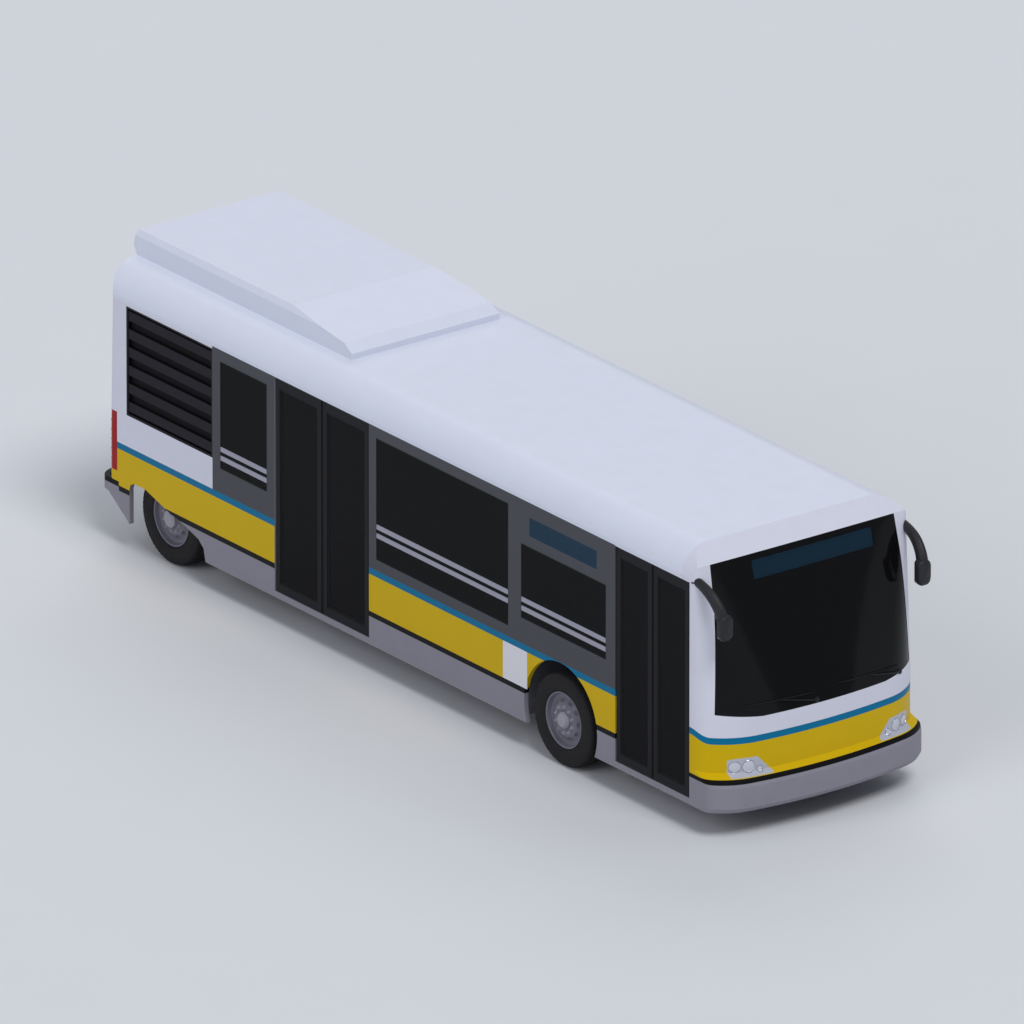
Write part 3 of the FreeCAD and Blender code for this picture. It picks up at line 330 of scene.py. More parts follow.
def lamp_lens(name, code, rib_mm, shine=0.5):
    """A moulded acrylic lens: glossy, with fine upright ribs rib_mm wide that break the light up."""
    made, tree, shader, place = material(name, Roughness=0.12, Specular_IOR_Level=shine, Coat_Roughness=0.06,
                                         Coat_Weight=0.4 * shine, Base_Color=linear(code))
    ribs = add(tree, "TexWave", {"Vector": place, "Scale": 1000 / rib_mm / WAVE_BANDS},
               bands_direction="Y").outputs["Fac"]
    raised = add(tree, "Bump", {"Height": ribs, "Distance": 0.001})
    plug(tree, shader, {"Normal": raised})
    return made


# Coach enamel and gelcoat: flat, even colours with soft highlights; the gelcoat is a little duller.
LIVERY = livery_paint()
ROOF_WHITE = enamel("roof_coach_enamel", "#DFE4F2", lined=True)
POD_WHITE = enamel("pod_gelcoat", "#DFE4F2", 0.42)
DOOR_BLACK = enamel("door_black_enamel", "#212125", 0.5, 0.02)
RAIL_PAINT = enamel("rail_grey_enamel", "#A5A4B3", 0.45, 0.1)
LOUVRE_PAINT = louvre_enamel()
# Harder enamels with more lacquer: brighter highlights on wheels, caps, plates and dials.
WHEEL_PAINT = enamel("wheel_silver_enamel", "#74747F", 0.45, 0.3)
NUT_STEEL = enamel("wheel_cap_silver_enamel", "#A19EAA", 0.35, 0.2)
PLATE_WHITE = enamel("plate_white_enamel", "#E4E4EA", 0.4, 0.4)
DIAL_FACE = enamel("dial_white_print", "#C9CAD0", 0.4, 0.1)
# Moulded plastics and rubbers, and the wipers' grained powder coat: matt, with a grain that shows close to.
GREY_PLASTIC = bumper_plastic()
MIRROR_SHELL = moulded("mirror_moulded_plastic", "#2B2B2E", 2.0, 0.45)
SEAT_SHELL = moulded("seat_shell_plastic", "#3C3E44", 2.0, 0.45)
LINING = moulded("cabin_lining_plastic", "#7E7F86")
DASH = moulded("dashboard_vinyl", "#1F1F22")
RUBBER = moulded("black_rubber_seal", "#141415", 3.0, 0.7)
WIPER_BLACK = moulded("wiper_black_enamel", "#1B1B1D", 3.0, 0.4)
TYRE = tyre_rubber()
MOQUETTE = woven_moquette()
# Glass: nearly black from outside, so that the cabin only just shows; the windscreen reflects most.
GLASS = tinted_glass("tinted_toughened_glass", 0.93, 0.06)
WINDSCREEN_GLASS = tinted_glass("laminated_windscreen_glass", 0.93, 0.16, True)
# Lenses: ribbed acrylic, clear at the front, red at the tail, and a dull blue cover over each sign.
SIGN_GLASS = lamp_lens("sign_blue_glass", "#1F3B4F", 9, 0.06)
HEADLAMP = lamp_lens("headlamp_clear_lens", "#B9BCC8", 14)
INNER_LENS = lamp_lens("lamp_inner_lens", "#CDD1DB", 8)
TAIL_RED = lamp_lens("tail_red_lens", "#A01418", 10, 0.12)
DARK_RED = lamp_lens("tail_dark_red_rib", "#7A1014", 10)
# Metals: dull painted iron and steel below, bright steel where hands go, silvered glass in the mirrors.
CHASSIS = chassis_metal("chassis_black_steel", "#29292C")
IRON = chassis_metal("axle_cast_iron", "#39393C")
STEEL_TUBE = bright_metal("brushed_steel_tube", "#C3C4C8")
CHROME = bright_metal("bright_lamp_ring", "#B9BCC6", 0.2)
MIRROR_GLASS = bright_metal("silvered_mirror_glass", "#D8DADF", 0.03)

FINISHES = {
    "white_roof": ROOF_WHITE, "body_paint": LIVERY, "mask_gelcoat": LIVERY,
    "bumper_plastic": GREY_PLASTIC, "tinted_glass": GLASS, "rail_paint": RAIL_PAINT,
    "sign_face": SIGN_GLASS, "plate_white": PLATE_WHITE, "lamp_clear": HEADLAMP, "lamp_red": TAIL_RED,
    "louvre_metal": LOUVRE_PAINT, "pod_cover": POD_WHITE, "mirror_plastic": MIRROR_SHELL,
    "frame_steel": CHASSIS, "floor_lining": LINING, "engine_iron": IRON, "axle_iron": IRON,
    "tyre": TYRE, "wheel_steel": WHEEL_PAINT, "bellows_rubber": RUBBER, "door_paint": DOOR_BLACK,
    "seat_fabric": MOQUETTE, "dash_vinyl": DASH, "pole_steel": STEEL_TUBE, "pin_steel": STEEL_TUBE,
}
SLOTS = {part["node"]: part["material_slot"] for part in frame["record"]["subparts"]}


def finish_nodes():
    """Give every CAD node its finish by its record slot."""
    for name, node in frame["nodes"].items():
        made = FINISHES[SLOTS[name]]
        node.data.materials.clear()
        node.data.materials.append(made)
    frame["nodes"]["windscreen"].data.materials[0] = WINDSCREEN_GLASS


finish_nodes()


# ------------------------------------------------------------------ mesh helpers
def surface(rings, wrap=False, caps=False):
    """Points and quads of a grid of rings; wrap joins the last ring to the first, caps close the ends."""
    rings = np.asarray(rings, dtype=float)
    rows, around = rings.shape[:2]
    index = np.arange(rows * around).reshape(rows, around)
    after = np.roll(index, -1, axis=0)
    quads = np.stack((index, np.roll(index, -1, axis=1), np.roll(after, -1, axis=1), after), axis=2)
    faces = quads[:rows if wrap else rows - 1].reshape(-1, 4).tolist()
    if caps:
        faces += [index[0, ::-1].tolist(), index[-1].tolist()]
    return rings.reshape(-1, 3), faces


def full_turn(steps):
    """Angles spread evenly round a full turn."""
    return np.linspace(0, 2 * math.pi, steps, endpoint=False)


def around_axle(x, y, z, radius, turn):
    """Points at a radius and an angle round an axle along Y, the angle running from +X to +Z."""
    radius, y, turn = np.broadcast_arrays(radius, y, turn)
    return np.stack((x + radius * np.cos(turn), y, z + radius * np.sin(turn)), axis=-1)


def gathered(patches):
    """Several patches of points and faces as one."""
    points, faces, count = [], [], 0
    for patch_points, patch_faces in patches:
        points.append(patch_points)
        faces += [tuple(index + count for index in face) for face in patch_faces]
        count += len(patch_points)
    return np.concatenate(points), faces


# An edge is sharp where its two faces turn by more than this.
CREASE = math.radians(35)


def piece(name, patches, finish, body="body", replaced=()):
    """One mesh piece in the row frame: its normals face outwards, and it rides on a body."""
    points, faces = gathered(patches)
    mesh = bpy.data.meshes.new(name)
    mesh.from_pydata(points.tolist(), [], faces)
    shape = bmesh.new()
    shape.from_mesh(mesh)
    bmesh.ops.recalc_face_normals(shape, faces=shape.faces)
    for face in shape.faces:
        face.smooth = True
    for edge in shape.edges:
        if len(edge.link_faces) == 2:
            edge.smooth = edge.calc_face_angle() < CREASE
    shape.to_mesh(mesh)
    shape.free()
    mesh.materials.append(finish)
    made = bpy.data.objects.new(name, mesh)
    bpy.context.collection.objects.link(made)
    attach(made, body)
    if replaced:
        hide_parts(*replaced)
    return made


def rounded_loop(low, high, radius, steps=6):
    """A rounded rectangle: points round it, and the outward direction at each."""
    low, high = np.array(low), np.array(high)
    points, ways = [], []
    corners = ((high[0], high[1], 0), (low[0], high[1], 1), (low[0], low[1], 2), (high[0], low[1], 3))
    for x, y, turn in corners:
        centre = np.array((x, y)) - radius * np.array((1 if turn in (0, 3) else -1, 1 if turn < 2 else -1))
        for angle in np.linspace(turn, turn + 1, steps + 1) * math.pi / 2:
            way = np.array((math.cos(angle), math.sin(angle)))
            points.append(centre + radius * way)
            ways.append(way)
    return np.array(points), np.array(ways)


def side_strip(low, high, radius, section, base, out):
    """A strip round a rounded rectangle on a side wall.

    The section is a closed row of (outwards in the wall's plane, off the wall) sizes; base is the wall's Y
    and out is 1 or -1 for the way it faces.
    """
    points, ways = rounded_loop(low, high, radius)
    section = np.array(section)
    flat = points[:, None, :] + ways[:, None, :] * section[None, :, :1]
    lift = np.broadcast_to(base + out * section[:, 1], flat.shape[:2])
    return surface(np.stack((flat[..., 0], lift, flat[..., 1]), axis=2), wrap=True)


def tube(path, radii, sides=14, squash=1.0, wrap=False):
    """A tube along a path; radii is one radius or one for each point, squash flattens it along Y."""
    path = np.asarray(path, dtype=float)
    radii = np.broadcast_to(radii, len(path))
    if wrap:
        heading = np.roll(path, -1, 0) - np.roll(path, 1, 0)
    else:
        heading = np.gradient(path, axis=0)
    heading /= np.linalg.norm(heading, axis=1)[:, None]
    across = np.cross(heading[0], (0, 0, 1) if abs(heading[0][2]) < 0.9 else (1, 0, 0))
    rings = []
    turn = full_turn(sides)
    for point, way, radius in zip(path, heading, radii):
        across = across - way * across.dot(way)
        across /= np.linalg.norm(across)
        up = np.cross(way, across)
        ring = np.cos(turn)[:, None] * across + np.sin(turn)[:, None] * up
        ring = ring * radius
        ring[:, 1] *= squash
        rings.append(point + ring)
    return surface(rings, wrap=wrap, caps=not wrap)


def smooth_line(points, count):
    """Points evenly spread along a Catmull-Rom curve through the given ones."""
    points = np.asarray(points, dtype=float)
    ends = np.vstack((2 * points[0] - points[1], points, 2 * points[-1] - points[-2]))
    place = np.linspace(0, len(points) - 1, count)
    first = np.minimum(place.astype(int), len(points) - 2)
    t = (place - first)[:, None]
    a, b, c, d = (ends[first + step] for step in range(4))
    return 0.5 * (2 * b + (c - a) * t + (2 * a - 5 * b + 4 * c - d) * t ** 2
                  + (3 * b - a - 3 * c + d) * t ** 3)


def pad(centre, half, power=4.0, rows=14, around=28):
    """A box with rounded sides: |x/a|^p + |y/b|^p + |z/c|^p = 1."""
    half = np.asarray(half, dtype=float)
    tilt = np.linspace(-math.pi / 2 + 0.02, math.pi / 2 - 0.02, rows)[:, None]
    turn = full_turn(around)[None, :]
    way = np.stack((np.cos(tilt) * np.cos(turn), np.cos(tilt) * np.sin(turn),
                    np.broadcast_to(np.sin(tilt), (rows, around))), axis=2)
    size = (np.abs(way) ** power).sum(axis=2, keepdims=True) ** (-1 / power)
    return surface(np.asarray(centre) + way * size * half, caps=True)


# ------------------------------------------------------------------ wheels
TYRE_LOW, TYRE_HIGH = span("front_left_tyre")
TYRE_RADIUS = (TYRE_HIGH[2] - TYRE_LOW[2]) / 2
TYRE_WIDTH = TYRE_HIGH[1] - TYRE_LOW[1]
RIM_LOW, RIM_HIGH = span("front_left_rim")
RIM_RADIUS = (RIM_HIGH[2] - RIM_LOW[2]) / 2
RIBS = 60


def tyre_patch(x, y, z):
    """A radial bus tyre round an axle point.

    The section runs bead, sidewall, shoulder, tread and back. On the tread four grooves 10 mm wide are sunk
    12 mm, and shoulder slots, one in four of the steps round the wheel, are sunk 8 mm. The sidewall has
    raised rings: y += 1.2 mm cos(2 pi (r - 0.31) / 16 mm) near the bead and the shoulder.
    """
    half = TYRE_WIDTH / 2
    side = smooth_line([(RIM_RADIUS - 0.002, half - 0.034), (RIM_RADIUS + 0.018, half - 0.012),
                        (0.345, half - 0.002), (0.375, half), (0.420, half - 0.004), (0.452, half - 0.012),
                        (0.468, half - 0.024)], 26)
    ringed = (side[:, 0] < 0.345) | (side[:, 0] > 0.43)
    side[:, 1] -= np.where(ringed, 0.0012 * (1 + np.cos(2 * math.pi * (side[:, 0] - 0.31) / 0.016)), 0.0)
    grooves = np.array([-0.072, -0.025, 0.025, 0.072])
    edges = np.sort(np.concatenate([grooves + step for step in (-0.0055, -0.0045, 0.0045, 0.0055)]))
    across = np.concatenate(([-0.104, -0.088], edges, [0.088, 0.104]))
    crown = TYRE_RADIUS - 0.006 * (across / 0.104) ** 2
    sunk = np.abs(across[:, None] - grooves).min(axis=1) < 0.005
    tread = np.stack((crown - 0.012 * sunk, across), axis=1)
    section = np.concatenate((side * (1, -1), tread, side[::-1]))
    around = 4 * RIBS
    radius = np.broadcast_to(section[:, 0], (around, len(section))).copy()
    slotted = (np.arange(around)[:, None] % 4 == 0) & (np.abs(section[:, 1]) > 0.08)[None, :]
    slotted &= (section[:, 0] > 0.455)[None, :]
    radius -= 0.008 * slotted
    return surface(around_axle(x, y + section[:, 1], z, radius, full_turn(around)[:, None]), wrap=True)


def dish_patch(x, y, z, out):
    """A steel disc wheel seen from its outer side.

    The section runs from the barrel over the rolled flange, down the dish and out along the hub. Ten hand
    holes are pressed 22 mm deep: depth exp(-(u^2 + v^2)^3), u and v being 17 mm and 26 mm units from each.
    """
    flange = [(RIM_RADIUS - down, off) for down, off in
              ((0.012, -0.118), (0.010, 0.0), (0.010, 0.090), (0.004, 0.108), (0.0, 0.116), (0.006, 0.1185),
               (0.015, 0.114), (0.020, 0.098), (0.028, 0.072))]
    dish = [(0.235, 0.064), (0.215, 0.068), (0.195, 0.080), (0.175, 0.094), (0.155, 0.099), (0.120, 0.100),
            (0.096, 0.101), (0.090, 0.108), (0.083, 0.112), (0.060, 0.112)]
    section = smooth_line(flange + dish, 76)
    around = 160
    turn = full_turn(around)[:, None]
    hole = 2 * math.pi / 10
    off = (turn + hole / 2) % hole - hole / 2
    radius = section[:, 0][None, :]
    u, v = off * radius / 0.026, (radius - 0.196) / 0.017
    press = 0.022 * np.exp(-(u ** 2 + v ** 2) ** 3) * (np.arange(len(section)) > 30)[None, :]
    front = section[:, 1][None, :] - press
    back = np.stack((section[::-1, 0] - 0.008, section[::-1, 1] - 0.028), axis=1)[6:-4]
    depth = np.concatenate((front, np.broadcast_to(back[:, 1], (around, len(back)))), axis=1)
    radii = np.concatenate((section[:, 0], back[:, 0]))
    return surface(around_axle(x, y + out * depth, z, radii, turn), wrap=True)


def boss(x, y, z, out, steps, sides=48, angle=0.0):
    """A round or many-sided boss on an axle, from (radius, distance outwards) steps."""
    rings = [around_axle(x, y + out * off, z, radius, full_turn(sides) + angle) for radius, off in steps]
    return surface(rings, caps=True)


def nut_patches(x, y, z, out):
    """Ten wheel nuts on a ring, each a washer, a hexagon and a domed end."""
    patches = []
    for angle in full_turn(10) + math.pi / 10:
        nut_x, nut_z = around_axle(x, y, z, NUT_RING, angle)[[0, 2]]
        for sides, steps in ((24, ((0.021, 0.096), (0.021, 0.1035), (0.019, 0.105))),
                             (6, ((0.0165, 0.103), (0.0165, 0.119), (0.0130, 0.121))),
                             (16, ((0.0085, 0.119), (0.0085, 0.128), (0.0050, 0.131)))):
            patches.append(boss(nut_x, y, nut_z, out, steps, sides, angle))
    return patches


NUT_RING = 0.132
# Hub caps as (radius, distance outwards) steps.
FRONT_CAP = ((0.084, 0.104), (0.084, 0.122), (0.080, 0.128), (0.070, 0.130), (0.069, 0.141), (0.062, 0.1475),
             (0.040, 0.149), (0.010, 0.149))
REAR_CAP = ((0.088, 0.104), (0.088, 0.138), (0.083, 0.143), (0.060, 0.144), (0.058, 0.148), (0.030, 0.149),
            (0.010, 0.149))


def wheel(end, side, rows):
    """One wheel position's tyres, discs, nuts and hub cap; rows are the tyres' Y, the outermost first."""
    out = 1 if side == "left" else -1
    many = "s" if end == "rear" else ""
    low, high = span(f"{end}_{side}_tyre{many}")
    x, z = (low[0] + high[0]) / 2, TYRE_RADIUS
    body = f"{end}_{side}_wheel{many}"
    piece(f"{body}_rubber", [tyre_patch(x, out * y, z) for y in rows], TYRE, body,
          replaced=[f"{end}_{side}_tyre{many}"])
    discs = [dish_patch(x, out * y, z, out if y == rows[0] else -out) for y in rows]
    inner, outer = out * (rows[-1] - 0.05), out * (rows[0] + 0.09)
    hub = surface(around_axle(x, (inner, outer, outer, inner), z, (0.10, 0.10, 0.075, 0.075),
                              full_turn(48)[:, None]), wrap=True)
    piece(f"{body}_discs", discs + [hub], WHEEL_PAINT, body,
          replaced=[f"{end}_{side}_rim{many}"])
    steps = FRONT_CAP if end == "front" else REAR_CAP
    fixings = nut_patches(x, out * rows[0], z, out) + [boss(x, out * rows[0], z, out, steps)]
    piece(f"{body}_nuts_and_cap", fixings, NUT_STEEL, body)


FRONT_ROWS = ((TYRE_LOW[1] + TYRE_HIGH[1]) / 2,)
TWINS = span("rear_left_tyres")
REAR_ROWS = (TWINS[1][1] - TYRE_WIDTH / 2, TWINS[0][1] + TYRE_WIDTH / 2)
for wheel_side in ("left", "right"):
    wheel("front", wheel_side, FRONT_ROWS)
    wheel("rear", wheel_side, REAR_ROWS)


# ------------------------------------------------------------------ places read off the CAD pieces
def islands(node):
    """Each separate solid of a CAD node: its lowest corner, its highest and its side, 1 left or -1 right."""
    mesh = frame["nodes"][node].data
    points = np.array([vertex.co for vertex in mesh.vertices])
    keys = [tuple(key) for key in np.round(points, 5).tolist()]
    index = {key: place for place, key in enumerate(dict.fromkeys(keys))}
    weld = [index[key] for key in keys]
    parent = list(range(len(index)))

    def root(place):
        """The first corner of the solid that a corner belongs to."""
        while parent[place] != place:
            parent[place] = parent[parent[place]]
            place = parent[place]
        return place

    for polygon in mesh.polygons:
        first = root(weld[polygon.vertices[0]])
        for other in polygon.vertices:
            parent[root(weld[other])] = first
    groups = {}
    for point, place in zip(points, weld):
        groups.setdefault(root(place), []).append(point)
    boxes = [(np.min(group, axis=0), np.max(group, axis=0)) for group in groups.values()]
    boxes = [(low, high, 1 if low[1] > 0 else -1) for low, high in boxes]
    return sorted(boxes, key=lambda box: (box[2], box[0][0]))


def faces_of(*nodes):
    """A tree of CAD faces for finding where a line meets them."""
    points, faces = [], []
    for node in nodes:
        mesh = frame["nodes"][node].data
        count = len(points)
        points += [tuple(vertex.co) for vertex in mesh.vertices]
        faces += [tuple(index + count for index in polygon.vertices) for polygon in mesh.polygons]
    return BVHTree.FromPolygons(points, faces)


def end_place(tree, end, y, z, lift=0.0):
    """The point of the nose (end 1) or tail (end -1) at a Y and Z, lifted off the face."""
    hit = tree.ray_cast(Vector((end * 9, y, z)), Vector((-end, 0, 0)))[0]
    return np.array((hit.x + end * lift, y, z))


# ------------------------------------------------------------------ windows and doors
GASKET = ((-0.016, -0.001), (-0.013, 0.0035), (-0.006, 0.005), (0.0, 0.005), (0.0, -0.001))
DOOR_GASKET = ((-0.018, -0.001), (-0.014, 0.006), (-0.005, 0.009), (0.0, 0.009), (0.0, -0.001))
LOUVRE_EDGE = ((-0.022, -0.006), (-0.022, 0.006), (-0.004, 0.009), (0.0, 0.009), (0.0, -0.006))


def opening_frames(name, node, section, face, finish):
    """A strip round each of a CAD node's openings in the side walls; face is its distance from the middle."""
    patches = [side_strip(low[[0, 2]], high[[0, 2]], 0.004, section, side * face, side)
               for low, high, side in islands(node)]
    piece(name, patches, finish)


def door_leaf_trim(prefix):
    """Glass rubber, the soft finger guard on the meeting edge and a grab handle for one door leaf."""
    leaf_low, leaf_high = span(f"{prefix}_leaf")
    low, high = span(f"{prefix}_glass")
    patches = []
    for base, out in ((low[1], -1), (high[1], 1)):
        patches.append(side_strip(low[[0, 2]], high[[0, 2]], 0.012, DOOR_GASKET, base, out))
    meeting, inward = (leaf_high[0], -1) if prefix.endswith("rear") else (leaf_low[0], 1)
    x = meeting + inward * 0.004
    guard = [(x, leaf_low[1] + 0.0005, leaf_low[2] + 0.01), (x, leaf_low[1] + 0.0005, leaf_high[2] - 0.01)]
    patches.append(tube(guard, 0.005, 10))
    piece(f"{prefix}_rubbers", patches, RUBBER, f"{prefix}_leaf")
    x = meeting + inward * 0.040
    inside = leaf_high[1]
    rail = smooth_line([(x, inside - 0.004, 0.92), (x, inside + 0.040, 0.95), (x, inside + 0.046, 1.02),
                        (x, inside + 0.046, 1.48), (x, inside + 0.040, 1.55), (x, inside - 0.004, 1.58)], 40)
    feet = [pad((x, inside + 0.003, z), (0.024, 0.004, 0.030), 6) for z in (0.92, 1.58)]
    piece(f"{prefix}_handle", [tube(rail, 0.013)] + feet, STEEL_TUBE, f"{prefix}_leaf")


def doorway_trim():
    """A drip rail over both doorways and ribbed step plates on their sills."""
    patches, treads = [], []
    for end in ("front", "rear"):
        low = span(f"{end}_door_rear_leaf")[0]
        high = span(f"{end}_door_front_leaf")[1]
        z = high[2] + 0.020
        y = -HALF + 0.0055
        path = smooth_line([(low[0] - 0.02, y, z - 0.016), (low[0] + 0.03, y, z),
                            (high[0] - 0.03, y, z), (high[0] + 0.02, y, z - 0.016)], 30)
        patches.append(tube(path, 0.0042, 8))
        for rib in np.linspace(-1.235, -1.19, 4):
            line = [(low[0] + 0.06, rib, FLOOR_TOP + 0.0015), (high[0] - 0.06, rib, FLOOR_TOP + 0.0015)]
            treads.append(tube(line, 0.0028, 6))
    piece("doorway_drip_rails", patches, RUBBER)
    piece("doorway_step_ribs", treads, STEEL_TUBE)


FLOOR_TOP = span("cabin_floor")[0][2] + 0.060
# Black rubber lies on the glass of every side window, and enamelled frames stand inside the wall's face.
opening_frames("window_gaskets", "side_windows", GASKET, span("side_windows")[1][1], RUBBER)
opening_frames("louvre_frames", "side_louvres", LOUVRE_EDGE, HALF - 0.010, DOOR_BLACK)
for leaf_name in ("front_door_rear", "front_door_front", "rear_door_rear", "rear_door_front"):
    door_leaf_trim(leaf_name)
doorway_trim()


# ------------------------------------------------------------------ nose and tail
NOSE = faces_of("front_panel", "windscreen", "headlamps", "front_bumper")
TAIL = faces_of("rear_panel", "engine_door", "rear_bumper", "tail_lamps")


def wipers():
    """Two windscreen wipers: a spindle cap, a tapering arm and a blade that follows the glass."""
    arms, blades = [], []
    for pivot, tip in ((0.95, 0.16), (-0.12, -0.90)):
        z = SCREEN_LOW[2] + 0.035
        start = end_place(NOSE, 1, pivot, z, 0.004)
        arms.append(pad(start, (0.016, 0.026, 0.026), 3))
        line = [end_place(NOSE, 1, y, z + rise, lift) for y, rise, lift in
                zip(np.linspace(pivot, (pivot + tip) / 2, 18), np.linspace(0, 0.085, 18),
                    0.012 + 0.016 * np.sin(np.linspace(0, math.pi / 2, 18)))]
        arms.append(tube(line, np.linspace(0.011, 0.006, 18), 8))
        run = np.linspace(pivot - 0.02, tip - 0.02, 40)
        rise = np.linspace(0.075, 0.095, 40)
        blade = [end_place(NOSE, 1, y, z + up, 0.009) for y, up in zip(run, rise)]
        blades.append(tube(blade, np.interp(np.arange(40), (0, 4, 35, 39), (0.004, 0.008, 0.008, 0.004)), 8))
        lip = [point - (0.006, 0, 0.004) for point in blade]
        blades.append(tube(lip, 0.003, 6))
    piece("wiper_arms", arms, WIPER_BLACK)
    piece("wiper_blades", blades, RUBBER)


def face_disc(tree, end, y, z, radius, bulge):
    """A round lens on the nose or tail: a dome of height bulge (1 - (r / R)^2) over a sunk rim."""
    rings = []
    for share in np.linspace(1.0, 0.03, 8):
        rings.append([end_place(tree, end, y + radius * share * math.cos(a), z + radius * share * math.sin(a),
                                0.0015 + bulge * (1 - share ** 2)) for a in full_turn(36)])
    base = [point - (end * 0.012, 0, 0) for point in rings[0]]
    return surface([base] + rings, caps=True)


def lamps():
    """Round lamps set in the headlamp lenses, and lens rows in the tail lamps."""
    rings, lenses = [], []
    for side in (1, -1):
        # Lamps: distance in from the side, height, radius.
        for inwards, z, radius in ((0.275, 0.715, 0.055), (0.405, 0.712, 0.062), (0.520, 0.672, 0.030)):
            y = side * (HALF - inwards)
            lenses.append(face_disc(NOSE, 1, y, z, radius, 0.006))
            circle = [end_place(NOSE, 1, y + radius * math.cos(a), z + radius * math.sin(a), 0.001)
                      for a in full_turn(40)]
            rings.append(tube(circle, 0.004, 8, wrap=True))
    piece("headlamp_rings", rings, CHROME)
    piece("headlamp_inner_lenses", lenses, INNER_LENS)
    ribs = []
    for low, high, side in islands("tail_lamps"):
        for z in np.arange(low[2] + 0.10, high[2] - 0.05, 0.10):
            line = [end_place(TAIL, -1, side * y, z, 0.0012)
                    for y in np.linspace(HALF - 0.112, HALF - 0.012, 14)]
            ribs.append(tube(line, 0.0035, 6))
    piece("tail_lamp_ribs", ribs, DARK_RED)


def engine_door_trim():
    """Air slots and two lock handles."""
    low, high = span("engine_door")
    slats = []
    for row, z in enumerate(np.arange(low[2] + 0.10, low[2] + 0.46, 0.036)):
        reach = 0.62 - 0.004 * row
        line = [end_place(TAIL, -1, y, z, 0.002) for y in np.linspace(-reach, reach, 31)]
        slats.append(tube(line, np.interp(np.arange(31), (0, 1, 29, 30), (0.003, 0.009, 0.009, 0.003)), 8))
    piece("engine_door_slats", slats, DOOR_BLACK, "engine_door")
    handles = []
    for y in (-0.82, 0.82):
        z = low[2] + 0.22
        place = end_place(TAIL, -1, y, z)
        handles.append(pad(place, (0.006, 0.055, 0.032), 5))
        grip = smooth_line([place + (0, -0.038, 0.002), place + (-0.016, -0.030, 0.002),
                            place + (-0.018, 0.0, 0.002), place + (-0.016, 0.030, 0.002),
                            place + (0, 0.038, 0.002)], 24)
        handles.append(tube(grip, 0.006, 10))
    piece("engine_door_handles", handles, STEEL_TUBE, "engine_door")


def rear_marks():
    """A blank plate lamp and two round reflectors over the rear bumper."""
    lamp, lenses = [], []
    for y in (-0.16, 0.16):
        place = end_place(TAIL, -1, y, 0.715)
        lamp.append(pad(place, (0.018, 0.030, 0.014), 4))
    for y in (-0.98, 0.98):
        lenses.append(face_disc(TAIL, -1, y, 0.715, 0.034, 0.004))
    piece("plate_lamps", lamp, RUBBER)
    piece("rear_reflectors", lenses, TAIL_RED)


def bumper_step():
    """A rubber step 6 mm thick that closes the slot between the tail and the top of the rear bumper."""
    top = span("rear_bumper")[1][2] - 0.003
    foot = top - 0.006
    rings = []
    for y in np.linspace(-1.22, 1.22, 61):
        behind = end_place(TAIL, -1, y, top - 0.010)[0] + 0.045
        ahead = end_place(TAIL, -1, y, top + 0.020)[0] + 0.030
        rings.append([(behind, y, top), (ahead, y, top), (ahead, y, foot), (behind, y, foot)])
    piece("rear_bumper_step", [surface(rings, caps=True)], RUBBER)


wipers()
lamps()
engine_door_trim()
rear_marks()
bumper_step()


# ------------------------------------------------------------------ mirrors and gutters
def mirror_arm(side):
    """A tusk-shaped moulded arm: a smooth curve forward and down that swells towards the housing."""
    # Curve: distance forward of the seam, distance in from the side, height.
    curve = ((-0.215, 0.052, 2.606), (-0.060, 0.050, 2.604), (0.110, 0.053, 2.580), (0.265, 0.062, 2.505),
             (0.370, 0.078, 2.390), (0.420, 0.094, 2.250), (0.425, 0.100, 2.170))
    path = smooth_line([(FRONT_SEAM + ahead, side * (HALF - inwards), z) for ahead, inwards, z in curve], 50)
    radii = np.interp(np.linspace(0, 1, 50), (0, 0.2, 0.5, 0.8, 1), (0.030, 0.046, 0.063, 0.072, 0.060))
    return tube(path, radii, 24, 0.75)


def mirrors():
    """Both mirrors: arm, housing with a raised rim, glass that looks back."""
    shells, glasses, seals = [], [], []
    for side in (1, -1):
        centre = np.array((FRONT_SEAM + 0.430, side * (HALF - 0.100), 2.225))
        shells += [mirror_arm(side), pad(centre, (0.054, 0.076, 0.132), 3.4, 20, 36)]
        shells.append(pad(centre + (0, 0, 0.005), (0.042, 0.0775, 0.112), 5, 20, 36))
        glasses.append(pad(centre - (0.049, 0, 0), (0.004, 0.060, 0.118), 7, 18, 36))
        edge = np.array((0.061, 0.119))
        y, z = rounded_loop(centre[1:] - edge, centre[1:] + edge, 0.03, 8)[0].T
        seals.append(tube(np.stack((np.full(len(y), centre[0] - 0.051), y, z), axis=1), 0.0035, 8, wrap=True))
    piece("mirror_housings", shells, MIRROR_SHELL, replaced=["mirrors"])
    piece("mirror_glasses", glasses, MIRROR_GLASS)
    piece("mirror_seals", seals, RUBBER)


def gutters():
    """A slim drip gutter along both roof edges and the rubber joints at both seams."""
    rails, joints = [], []
    top = WALL_HIGH[2]
    for side in (1, -1):
        y = side * (HALF - 0.0042)
        line = [(x, y, top + 0.002) for x in np.linspace(REAR_SEAM + 0.05, FRONT_SEAM - 0.26, 12)]
        rails.append(tube(line, 0.0040, 8))
        for x in (FRONT_SEAM, REAR_SEAM):
            line = [(x, side * (HALF - 0.0022), z) for z in np.linspace(SKIRT_HIGH[2], top, 12)]
            joints.append(tube(line, 0.0020, 6))
    piece("roof_gutters", rails, ROOF_WHITE)
    piece("panel_joints", joints, RUBBER)


mirrors()
gutters()


# ------------------------------------------------------------------ cabin
def tilted(patch, degrees, place):
    """A patch leaned back about Y and put in its place."""
    points, faces = patch
    turn = math.radians(degrees)
    lean = np.array([[math.cos(turn), 0, math.sin(turn)], [0, 1, 0], [-math.sin(turn), 0, math.cos(turn)]])
    return points @ lean + np.array(place), faces


